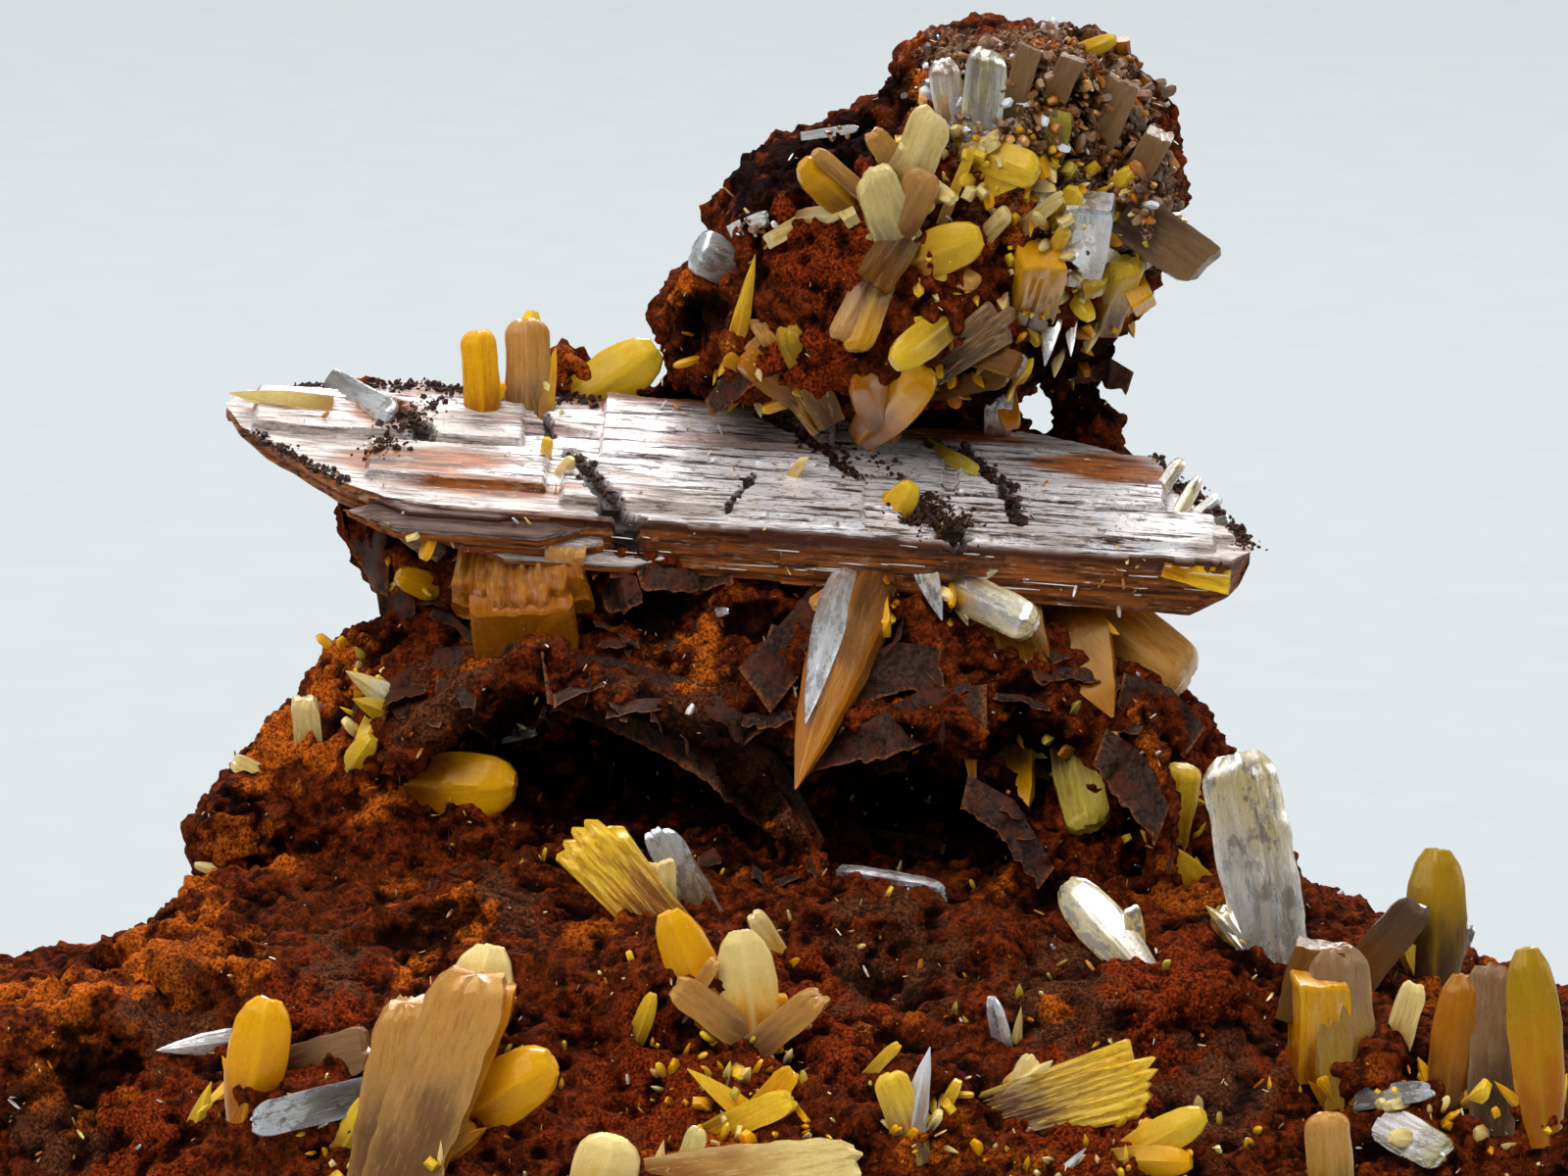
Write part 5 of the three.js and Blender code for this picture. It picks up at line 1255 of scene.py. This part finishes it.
# Patches of small crystals on the display side: across, up, half width, half height, how many,
# least and greatest length, and how the tints are shared out.
SMALL_PATCHES = [
    (7.4, 30.6, 2.6, 1.4, 46, 0.5, 1.4, "yellow pale pale olive"),
    (9.6, 28.6, 2.0, 1.8, 46, 0.5, 1.3, "yellow pale olive pale"),
    (4.6, 31.0, 1.6, 1.6, 20, 0.6, 1.4, "pale yellow pale"),
    (6.2, 27.6, 2.4, 1.0, 18, 0.4, 1.0, "yellow pale"),
    (9.0, 26.3, 1.8, 0.9, 18, 0.5, 1.3, "pale brown yellow"),
    (7.6, 24.9, 1.6, 0.8, 12, 0.6, 1.4, "brown pale olive"),
    (-1.4, 24.6, 1.6, 0.9, 9, 0.5, 1.2, "pale yellow"),
    (5.6, 24.4, 1.6, 0.7, 8, 0.5, 1.2, "brown yellow"),
    (-1.6, 3.0, 2.4, 1.5, 44, 0.4, 1.1, "yellow olive pale"),
    (0.2, 1.0, 2.6, 0.9, 26, 0.4, 1.0, "pale yellow"),
    (4.2, 2.2, 1.6, 1.2, 14, 0.4, 1.0, "yellow pale"),
    (12.0, 1.6, 2.2, 1.0, 20, 0.4, 1.1, "yellow pale olive"),
    (8.4, 0.8, 3.0, 0.8, 18, 0.3, 0.8, "pale yellow"),
    (-12.4, 1.4, 2.6, 1.2, 16, 0.4, 1.0, "yellow pale"),
    (20.4, 2.2, 2.6, 1.6, 22, 0.6, 1.4, "yellow pale"),
    (13.0, 11.6, 1.0, 1.6, 10, 0.5, 1.1, "olive yellow"),
    (8.4, 13.0, 1.8, 1.6, 12, 0.5, 1.2, "olive brown"),
    (-13.4, 15.2, 1.4, 1.8, 16, 0.4, 0.9, "pale olive yellow"),
    (-11.0, 18.8, 1.4, 1.2, 10, 0.4, 1.0, "pale yellow"),
    (3.8, 17.6, 2.6, 0.9, 16, 0.4, 1.0, "brown yellow pale"),
    (0.0, 8.4, 12.0, 4.0, 40, 0.25, 0.6, "pale yellow"),
    (2.0, 3.0, 22.0, 4.0, 70, 0.25, 0.6, "pale yellow olive"),
]
DRUSE_PATCHES = [
    (8.2, 33.2, 3.6, 1.9, 520, 0.2, 0.9), (10.8, 30.6, 1.2, 2.2, 200, 0.2, 0.9),
    (5.4, 33.2, 1.6, 1.8, 120, 0.2, 0.9), (9.8, 29.2, 1.4, 0.9, 60, 0.3, 0.9),
    (-0.8, 28.9, 0.7, 0.4, 14, 0.3, 0.6), (1.6, 31.9, 0.5, 0.3, 10, 0.3, 0.6),
]
TO_VIEWER = 0.35               # how much small crystals lean towards the viewer
SMALL_SLIM = 0.42              # width of a small crystal as a share of its length, roughly
SMALL_HABITS = ["spear", "tooth", "slab", "spear", "slab", "lens"]
GLINTS = 2400                  # bright specks of crystal on the display side's rock: painted glints
GLINTS_SPAN = (-24, 24)        # they lie between these places across it
GLINTS_RISE = (-0.5, 35)       # and between these heights
EDGE_GLINTS = 30               # white slivers along the lath's front edge: painted glints
CRUMBS = 1.9                   # how thickly the crumbs lie
# Dark crumbs on the lath: a line [along, across], how many, and how far they stray.
CRUST_LINES = [
    ([(-15.4, 5.9), (-11.6, 6.6), (-8.8, 6.2)], 260, 0.13), ([(-8.6, 6.2), (-6.0, 6.5)], 120, 0.16),
    ([(11.2, 5.1), (13.4, 2.4), (14.2, 0.8)], 240, 0.13), ([(-16.6, 3.3), (-13.6, 1.0)], 90, 0.12),
    ([(-0.9, 5.7), (0.3, 4.9), (0.6, 4.2), (1.6, 3.6), (2.2, 2.7)], 170, 0.12),
    ([(4.3, 5.4), (5.2, 4.7), (5.8, 3.7), (6.9, 2.6), (7.2, 0.9)], 170, 0.12),
    ([(4.1, 1.9), (4.6, 1.2), (5.1, 0.3)], 200, 0.34),
    ([(-12.6, 2.4), (-11.9, 3.9), (-10.9, 5.4)], 170, 0.24),
    ([(-6.6, 3.2), (-6.0, 1.7), (-5.2, 0.3)], 60, 0.12), ([(-1.4, 5.9), (2.8, 5.8)], 40, 0.2),
    ([(1.8, 4.6), (3.4, 3.2)], 30, 0.3), ([(-1.1, 2.6), (-1.7, 0.6)], 14, 0.06),
]


def small_crystal(growth, seat, length, slim, spread, habit=None, rings=8, around=8):
    """A small crystal that stands out of the surface, leaning its own way."""
    _, point, normal = seat
    outward = unit(normal - TO_VIEWER * AWAY + RANDOM.normal(0, spread, 3))
    width = length * RANDOM.uniform(0.7, 1.3) * slim
    root = point - outward * 0.3 * length
    grow(growth, root, point + outward * 0.7 * length, width, width * RANDOM.uniform(0.45, 0.9),
         habit or str(RANDOM.choice(SMALL_HABITS)), unit(RANDOM.normal(0, 1, 3)), rings, around)


def seats_in(patch, trees):
    """Random places on the surface inside a patch, with the height of each."""
    across, up, half_width, half_height, count = patch[:5]
    angle = RANDOM.uniform(0, 2 * math.pi, count)
    reach = np.sqrt(RANDOM.uniform(0, 1, count))
    aside, above = half_width * reach * np.cos(angle), half_height * reach * np.sin(angle)
    for x, y in zip(across + aside, up + above):
        seat = surface_at(trees, x, y)
        if seat:
            yield seat, y


def add_small_crystals(material, trees):
    growths = {tint: Growth(tint) for tint in ("yellow", "pale", "olive", "brown")}
    for patch in SMALL_PATCHES:
        tints = patch[7].split()
        for seat, up in seats_in(patch, trees):
            length = patch[5] + (patch[6] - patch[5]) * RANDOM.uniform(0, 1) ** 1.6
            growth = growths[str(RANDOM.choice(tints))]
            # Small crystals on the knob get painted shade.
            growth.dust = KNOB_PAINTED_SHADE if up > KNOB_FOOT else 1.0
            small_crystal(growth, seat, length, SMALL_SLIM, 0.5)
    for tint, growth in growths.items():
        add_piece(growth.mesh(f"small_{tint}_crystals"), material, sharp=35)


def add_druse(material, trees):
    """The crust of tiny crystals on the knob."""
    growth = Growth("druse")
    for patch in DRUSE_PATCHES:
        for seat, _ in seats_in(patch, trees):
            length = patch[5] + (patch[6] - patch[5]) * RANDOM.uniform(0, 1) ** 2
            habit = str(RANDOM.choice(["block", "slab", "prism"]))
            small_crystal(growth, seat, length, SMALL_SLIM, 0.9, habit, rings=7, around=12)
    add_piece(growth.mesh("knob_druse"), material, sharp=30)


def add_glints(material, trees):
    """Specks and slivers of crystal all over the rock, coloured bright: painted glints of light."""
    growth = Growth("glint")
    for _ in range(GLINTS):
        seat = surface_at(trees, RANDOM.uniform(*GLINTS_SPAN), RANDOM.uniform(*GLINTS_RISE))
        if seat:
            length = 0.10 + 0.4 * RANDOM.uniform(0, 1) ** 3
            slim = RANDOM.uniform(0.15, 0.4)
            small_crystal(growth, seat, length, slim, 0.9, "prism", rings=3, around=4)
    add_piece(growth.mesh("rock_glints"), material, sharp=20)


def add_edge_glints(material):
    """Slivers of crystal along the side face of the lath, coloured white: painted glints of light.
    """
    growth = Growth("edge_glint")
    along = RANDOM.uniform(-5.0, 13.2, EDGE_GLINTS)
    down = RANDOM.uniform(0.12, 1.5, EDGE_GLINTS)
    for middle, start in zip(on_lath(along, -0.22 + 0 * along, -down), along):
        reach = (0.10 + 0.75 * RANDOM.uniform(0, 1) ** 2) * LATH_BASIS[0]
        grow(growth, middle - reach, middle + reach, 0.045, 0.08, "prism", -AWAY, rings=4, around=6)
    add_piece(growth.mesh("lath_glints"), material, sharp=20)


def add_crust(material):
    """Dark crumbs of goethite along the lath's edges and cracks."""
    growth = Growth("crust")
    for line, count, spread in CRUST_LINES:
        count = round(CRUMBS * count)
        along, across = along_line(line, RANDOM.uniform(0, 1, count))
        along = along + RANDOM.normal(0, 1.4 * spread, count)
        across = across + RANDOM.normal(0, spread, count)
        for point in on_lath(along, across, step_height(along, across)):
            outward = unit(RANDOM.normal(0, 1, 3) + LATH_BASIS[2] * 0.4)
            length = 0.05 + 0.22 * RANDOM.uniform(0, 1) ** 3
            width, habit = length * RANDOM.uniform(0.4, 1.0), str(RANDOM.choice(["tooth", "block"]))
            grow(growth, point - outward * 0.5 * length, point + outward * 0.5 * length, width,
                 length * 0.5, habit, unit(RANDOM.normal(0, 1, 3)), rings=4, around=8)
    add_piece(growth.mesh("lath_crust"), material, sharp=30)


# ---------------------------------------------------------------- materials

class Shading:
    """A material's node tree, with short calls for the nodes that the materials share.

    A number or colour that a call is given is set on the node's own socket.
    """

    def __init__(self, name):
        self.material = bpy.data.materials.new(name)
        self.material.use_nodes = True
        self.tree = self.material.node_tree
        self.shader = self.tree.nodes["Principled BSDF"]

    def node(self, kind, output, inputs, **settings):
        """Adds a node, and returns one output of it."""
        node = self.tree.nodes.new(kind)
        for name, value in settings.items():
            setattr(node, name, value)
        for name, value in inputs.items():
            self.link(value, node.inputs[name])
        return node.outputs[output]

    def link(self, source, target):
        """Gives a socket its number or colour, or links it to another node's output."""
        if isinstance(source, (int, float)):
            target.default_value = source
        elif isinstance(source, tuple):
            whole = len(source) == len(target.default_value)
            target.default_value = source if whole else (*source, 1.0)
        else:
            self.tree.links.new(source, target)

    def value(self, name):
        return self.node("ShaderNodeAttribute", "Fac", {}, attribute_name=name)

    def vector(self, name):
        return self.node("ShaderNodeAttribute", "Vector", {}, attribute_name=name)

    def scaled(self, vector, scale):
        return self.node("ShaderNodeMapping", "Vector", {"Scale": scale, "Vector": vector})

    def noise(self, vector, scale=1.0, detail=4.0, roughness=0.55):
        return self.node("ShaderNodeTexNoise", "Fac", {
            "Scale": scale, "Detail": detail, "Roughness": roughness, "Vector": vector})

    def millimetres(self):
        """Coordinates through the whole specimen, in millimetres."""
        coordinates = self.node("ShaderNodeTexCoord", "Object", {})
        return self.scaled(coordinates, (1 / MM, 1 / MM, 1 / MM))

    def voronoi(self, vector, scale):
        return self.node("ShaderNodeTexVoronoi", "Distance", {"Scale": scale, "Vector": vector})

    def ramp(self, value, low, high, start=0.0, end=1.0):
        return self.node("ShaderNodeMapRange", "Result", {
            "From Min": low, "From Max": high, "To Min": start, "To Max": end, "Value": value,
        }, interpolation_type="SMOOTHSTEP")

    def math(self, operation, first, second):
        return self.node("ShaderNodeMath", "Value", {0: first, 1: second}, operation=operation)

    def times(self, first, second):
        return self.math("MULTIPLY", first, second)

    def mix(self, share, first, second, blend="MIX"):
        return self.node("ShaderNodeMix", "Result", {"Factor": share, "A": first, "B": second},
                         data_type="RGBA", blend_type=blend)

    def blend(self, value, low, high, first, second, start=0.0, end=1.0, blend="MIX"):
        """The second colour over the first where the value is between low and high or above."""
        return self.mix(self.ramp(value, low, high, start, end), first, second, blend)

    def stone(self, scale, detail, roughness):
        """Noise through the whole specimen; its scale is in turns per millimetre."""
        return self.noise(self.millimetres(), scale, detail, roughness)

    def streaky(self, grain, scale, detail, roughness):
        """Noise that follows a crystal's grain; its scale is across, across and along."""
        return self.noise(self.scaled(grain, scale), 1.0, detail, roughness)

    def bump(self, height, distance, strength=1.0, after=None):
        """Relief of this many millimetres, on top of an earlier bump."""
        inputs = {"Strength": strength, "Distance": distance * MM, "Height": height}
        if after is not None:
            inputs["Normal"] = after
        return self.node("ShaderNodeBump", "Normal", inputs)

    def surface(self, **sockets):
        for name, value in sockets.items():
            self.link(value, self.shader.inputs[name.replace("_", " ")])
        return self.material

    def absorb(self, colour, density):
        """Takes up light on its way through the crystal; the density is per millimetre."""
        volume = self.node("ShaderNodeVolumeAbsorption", "Volume", {
            "Color": colour, "Density": density / MM})
        self.link(volume, self.tree.nodes["Material Output"].inputs["Volume"])


def rock_material():
    shading = Shading("limonite")
    blend, times, value = shading.blend, shading.times, shading.value
    broad = shading.stone(0.5, 5, 0.6)
    middle = shading.stone(2.4, 6, 0.65)
    fine = shading.stone(9.0, 5, 0.75)
    distance = shading.voronoi(shading.millimetres(), 5.5)
    earth = blend(middle, 0.36, 0.66, (0.032, 0.0055, 0.0020), (0.330, 0.050, 0.0080))
    earth = blend(broad, 0.45, 0.65, earth, (0.150, 0.028, 0.007), 0, 0.5)
    red = blend(fine, 0.38, 0.66, (0.110, 0.011, 0.0025), (0.56, 0.076, 0.0090))
    earth = shading.mix(times(value("red"), 0.75), earth, red)
    skin = blend(fine, 0.35, 0.7, (0.072, 0.022, 0.009), (0.230, 0.080, 0.034))
    earth = shading.mix(times(value("skin"), 0.8), earth, skin)
    powder = blend(fine, 0.36, 0.64, (0.36, 0.050, 0.004), (0.95, 0.22, 0.015))
    powdered = times(value("orange"), shading.ramp(middle, 0.32, 0.5, 0.35, 1.0))
    earth = shading.mix(powdered, earth, powder)
    druse = blend(fine, 0.4, 0.62, (0.080, 0.030, 0.015), (0.50, 0.33, 0.20))
    drusy = times(value("druse"), shading.ramp(middle, 0.40, 0.56, 0.1, 0.9))
    earth = shading.mix(drusy, earth, druse)
    earth = blend(fine, 0.60, 0.72, earth, (0.62, 0.22, 0.055), 0, 0.75)
    # Painted shade: the colour is darkened where the relief is low, and almost to black in the
    # hollows.
    low = shading.ramp(value("relief"), 0.10, 0.62, 0.07, 1.0)
    low = times(low, shading.ramp(fine, 0.36, 0.60, 0.32, 1.3))
    shade = times(low, shading.ramp(value("black"), 0.0, 1.0, 1.0, 0.10))
    colour = shading.mix(1.0, earth, shading.mix(shade, (0, 0, 0), WHITE), "MULTIPLY")
    rough = shading.ramp(fine, 0.3, 0.7, 0.55, 0.95)
    normal = shading.bump(fine, 0.16, 1.0)
    normal = shading.bump(distance, 0.10, 0.7, normal)
    normal = shading.bump(middle, 0.20, 0.6, normal)
    return shading.surface(Base_Color=colour, Roughness=rough, Normal=normal,
                           Specular_IOR_Level=0.03)


# How clear each kind of crystal is: transmission, index of refraction, and what it absorbs per mm.
CLARITY = {
    "yellow": (0.16, 1.5, (0.95, 0.66, 0.05), 1.2), "pale": (0.18, 1.5, (0.92, 0.80, 0.50), 1.0),
    "brown": (0.18, 1.5, (0.85, 0.45, 0.12), 1.2), "olive": (0.18, 1.5, (0.82, 0.70, 0.15), 1.2),
    "clear": (0.55, 2.2, (0.92, 0.88, 0.74), 0.4), "druse": (0.0, 1.8, None, 0),
    "glint": (0.0, 2.0, None, 0), "small": (0.0, 1.6, None, 0),
}
WHITE = (1.0, 1.0, 1.0)
GLOSS_TINT = {"yellow": (1.0, 0.80, 0.36), "pale": (1.0, 0.90, 0.66), "brown": (1.0, 0.76, 0.34),
              "olive": (1.0, 0.86, 0.45), "small": (1.0, 0.88, 0.55)}


def crystal_material(tint):
    transmission, index, absorbed, density = CLARITY[tint]
    shading = Shading(f"wulfenite_{tint}")
    blend, times, ramp = shading.blend, shading.times, shading.ramp
    grain = shading.vector("grain")
    ribs = shading.streaky(grain, (7.0, 7.0, 1.0), 5, 0.7)
    cloud = shading.streaky(grain, (0.9, 0.9, 0.45), 3, 0.55)
    frost = shading.streaky(grain, (11, 11, 8), 4, 0.7)
    reach = shading.math("ADD", shading.value("height"), ramp(cloud, 0.3, 0.7, -0.13, 0.13))
    root = shading.vector("root")
    tip = shading.vector("tip")
    colour = blend(reach, 0.18, 0.86, root, tip)
    colour = blend(reach, 0.12, 0.58, colour, (0.46, 0.28, 0.17), 0.72, 0.0, "MULTIPLY")
    streak = shading.value("streak")
    # Painted shade in the grooves between the ribs; painted highlights on the crests, the edges and
    # the end.
    groove_shade = times(ramp(ribs, 0.52, 0.34, 0, 0.85), streak)
    colour = shading.mix(groove_shade, colour, (0.50, 0.34, 0.22), "MULTIPLY")
    colour = blend(frost, 0.50, 0.34, colour, (0.60, 0.45, 0.30), 0, 0.28, "MULTIPLY")
    highlight_colour = shading.mix(1.0, tip, (1.15, 1.25, 1.6), "MULTIPLY")
    colour = shading.mix(times(ramp(ribs, 0.54, 0.70, 0, 0.8), streak), colour, highlight_colour)
    colour = shading.mix(times(shading.value("edge"), RIM_HIGHLIGHT), colour, highlight_colour)
    colour = blend(frost, 0.70, 0.78, colour, (0.16, 0.055, 0.012), 0, 0.35)
    if tint == "clear":
        # Dark crackle in the clear crystals, which also paints the dark reflections of glass.
        crackle_and_reflection = shading.streaky(grain, (2.4, 2.4, 1.2), 5, 0.72)
        colour = blend(crackle_and_reflection, 0.49, 0.57, colour, (0.17, 0.12, 0.08), 0, 0.8)
    rough = ramp(ribs, 0.3, 0.75, 0.12, 0.34)
    normal = shading.bump(frost, 0.012, 0.45, shading.bump(times(ribs, streak), 0.05, 0.7))
    if transmission:
        shading.absorb(absorbed, density)
    return shading.surface(Base_Color=colour, Roughness=rough, Normal=normal, IOR=index,
                           Specular_IOR_Level=0.3, Specular_Tint=GLOSS_TINT.get(tint, WHITE),
                           Transmission_Weight=transmission)


def leaf_material():
    shading = Shading("goethite_leaf")
    fine = shading.stone(7.0, 5, 0.75)
    broad = shading.stone(1.2, 4, 0.6)
    colour = shading.blend(fine, 0.38, 0.64, (0.010, 0.0045, 0.003), (0.085, 0.036, 0.020))
    colour = shading.blend(broad, 0.46, 0.64, colour, (0.11, 0.022, 0.007), 0, 0.7)
    rim = shading.times(shading.value("rim"), shading.ramp(fine, 0.4, 0.6, 0.1, 0.7))
    colour = shading.mix(rim, colour, (0.42, 0.13, 0.03))
    normal = shading.bump(fine, 0.10, 0.9)
    return shading.surface(Base_Color=colour, Roughness=shading.ramp(fine, 0.3, 0.7, 0.45, 0.85),
                           Normal=normal, Specular_IOR_Level=0.2)


def crust_material():
    shading = Shading("goethite_crust")
    fine = shading.stone(6.0, 5, 0.7)
    colour = shading.blend(fine, 0.45, 0.68, (0.016, 0.006, 0.004), (0.130, 0.036, 0.014))
    return shading.surface(Base_Color=colour, Roughness=shading.ramp(fine, 0.3, 0.7, 0.4, 0.8),
                           Normal=shading.bump(fine, 0.08, 0.8), Specular_IOR_Level=0.25)


def lath_material():
    shading = Shading("wulfenite_lath")
    blend, times, ramp, value = shading.blend, shading.times, shading.ramp, shading.value
    grain = shading.vector("grain")
    streaks = shading.streaky(grain, (5.5, 5.5, 0.45), 6, 0.7)
    threads = shading.streaky(grain, (15, 15, 0.9), 4, 0.7)
    flakes = shading.streaky(grain, (3.0, 3.0, 1.6), 5, 0.7)
    # Painted reflection: the silver of the face, broken by dark brown streaks, stands in for glare.
    silver = blend(streaks, 0.40, 0.52, (0.045, 0.016, 0.008), (0.93, 0.88, 0.89))
    silver = blend(flakes, 0.55, 0.65, silver, (0.17, 0.080, 0.045), 0, 0.85)
    mottle = shading.streaky(grain, (7.0, 7.0, 5.0), 4, 0.7)
    silver = blend(mottle, 0.46, 0.36, silver, (0.36, 0.28, 0.29), 0, 0.55)
    amber = blend(streaks, 0.35, 0.65, (0.035, 0.006, 0.0015), (0.46, 0.120, 0.014))
    pale = blend(threads, 0.4, 0.6, (0.30, 0.19, 0.09), (0.62, 0.48, 0.30))
    amber = blend(flakes, 0.54, 0.72, amber, pale, 0, 0.5)
    # Painted highlights: near-white threads on the amber parts.
    amber = blend(threads, 0.62, 0.70, amber, (0.88, 0.74, 0.62), 0, 0.85)
    dull = blend(threads, 0.35, 0.62, (0.085, 0.034, 0.016), (0.66, 0.52, 0.43))
    # Painted reflection where the face is silver; dull brown elsewhere.
    silver = blend(value("shine"), 0.0, 0.7, silver, dull, 0.65, 0.0)
    colour = shading.mix(value("amber"), silver, amber)
    colour = blend(value("rim"), 0.0, 1.0, colour, (0.055, 0.008, 0.002), 0.0, 0.85)
    # Painted shade: the cracks are coloured near black.
    colour = shading.mix(value("crack"), colour, (0.010, 0.004, 0.003))
    plain = shading.math("SUBTRACT", 1.0, shading.math("MAXIMUM", value("amber"), value("crack")))
    metal = times(plain, ramp(streaks, 0.43, 0.57, 0.0, 0.5))
    metal = times(metal, ramp(flakes, 0.66, 0.52, 0.2, 1.0))
    metal = times(metal, ramp(value("shine"), 0.0, 0.7, 0.25, 1.0))
    matt = shading.math("SUBTRACT", 0.72, times(metal, 0.66))
    rough = shading.math("ADD", matt, ramp(threads, 0.3, 0.7, -0.04, 0.08))
    normal = shading.bump(threads, 0.02, 0.8)
    normal = shading.bump(streaks, 0.05, 0.8, normal)
    normal = shading.bump(flakes, 0.03, 0.5, normal)
    shading.absorb((0.86, 0.42, 0.10), 1.2)
    return shading.surface(Base_Color=colour, Roughness=rough, Metallic=metal, Normal=normal,
                           IOR=1.55, Specular_IOR_Level=0.2, Specular_Tint=(1.0, 0.82, 0.66),
                           Transmission_Weight=0.2)


# ---------------------------------------------------------------- stage

CAMERA_DISTANCE = 600.0        # in millimetres, as the boxes' distances and sides are
CAMERA_CLIP = (0.01, 20.0)     # the nearest and the farthest that it sees, in metres
SENSOR = 36.0
PALE = (0.675, 0.73, 0.745)
FLOOR_GLOW = 0.50
FLOOR_HALF = 4.0               # half the floor's side, in metres
WORLD_STRENGTH = 0.35
# Square soft boxes: the direction they shine in, their distance, their side and their radiance.
SOFT_BOXES = {
    "overhead_box": ((0, -0.53, -0.848), 420, 230, 13.0),
    "high_front_box": ((0.12, 0.42, -0.90), 430, 200, 7.0),
    "front_box": ((0.55, 0.62, -0.56), 480, 220, 5.0),
    "right_box": ((-0.85, 0.35, -0.4), 480, 160, 5.0),
}


def look_along(target, direction, distance):
    """A transform that stands back from the target and looks along the direction."""
    location = Vector((target - direction * distance) * MM)
    turn = Vector(direction).to_track_quat("-Z", "Y")
    return Matrix.Translation(location) @ turn.to_matrix().to_4x4()


def add_camera():
    camera = bpy.data.cameras.new("camera")
    camera.sensor_width = SENSOR
    camera.lens = SENSOR * CAMERA_DISTANCE / VIEW_WIDTH
    camera.clip_start, camera.clip_end = CAMERA_CLIP
    item = bpy.data.objects.new("camera", camera)
    item.matrix_world = look_along(place(0, VIEW_MIDDLE, 0), AWAY, CAMERA_DISTANCE)
    bpy.context.scene.collection.objects.link(item)
    bpy.context.scene.camera = item


def add_soft_box(name, direction, distance, size, radiance):
    lamp = bpy.data.lights.new(name, "AREA")
    lamp.size = size * MM
    lamp.energy = radiance * math.pi * (size * MM) ** 2
    item = bpy.data.objects.new(name, lamp)
    direction = unit(np.array(direction, float))
    item.matrix_world = look_along(place(0, VIEW_MIDDLE, 4), direction, distance)
    bpy.context.scene.collection.objects.link(item)


def add_floor():
    shading = Shading("floor")
    grain = shading.noise(shading.node("ShaderNodeTexCoord", "Object", {}), 300.0, 3)
    colour = shading.blend(grain, 0.3, 0.7, (0.225, 0.235, 0.243), (0.235, 0.245, 0.253))
    material = shading.surface(Base_Color=colour, Roughness=0.9, Specular_IOR_Level=0.0,
                               Emission_Color=PALE, Emission_Strength=FLOOR_GLOW)
    mesh = bpy.data.meshes.new("floor")
    corners = [(-1, -1), (1, -1), (1, 1), (-1, 1)]
    mesh.from_pydata([(x * FLOOR_HALF, y * FLOOR_HALF, 0) for x, y in corners], [], [(0, 1, 2, 3)])
    mesh.materials.append(material)
    floor = bpy.data.objects.new("floor", mesh)
    bpy.context.scene.collection.objects.link(floor)


def add_light():
    world = bpy.data.worlds.new("studio")
    world.use_nodes = True
    background = world.node_tree.nodes["Background"]
    background.inputs["Color"].default_value = (*PALE, 1.0)
    background.inputs["Strength"].default_value = WORLD_STRENGTH
    bpy.context.scene.world = world
    for name, box in SOFT_BOXES.items():
        add_soft_box(name, *box)
    bpy.context.scene.view_settings.view_transform = "Standard"


# ---------------------------------------------------------------- the specimen

def main():
    trees = [node_tree("limonite_matrix"), node_tree("main_lath")]
    clear = crystal_material("clear")
    tints = {tint: crystal_material(tint) for tint in ("yellow", "pale", "brown", "olive")}
    add_rock(rock_material())
    add_lath(lath_material())
    for name, group in {**CLUSTERS, **MINOR}.items():
        tint = group["tint"]
        growth = Growth(tint)
        for spec in group["crystals"]:
            seat_crystal(growth, spec, group["foot"], trees)
        nodes = [name] if name in CLUSTERS else []
        material = clear if group["clear"] else tints[tint]
        add_piece(growth.mesh(f"{name}_crystal"), material, nodes, sharp=35)
    add_small_crystals(crystal_material("small"), trees)
    add_leaves(leaf_material(), trees[:1])
    add_druse(crystal_material("druse"), trees)
    glint = crystal_material("glint")
    add_glints(glint, trees)
    add_edge_glints(glint)
    add_crust(crust_material())
    add_floor()
    add_light()
    add_camera()


main()
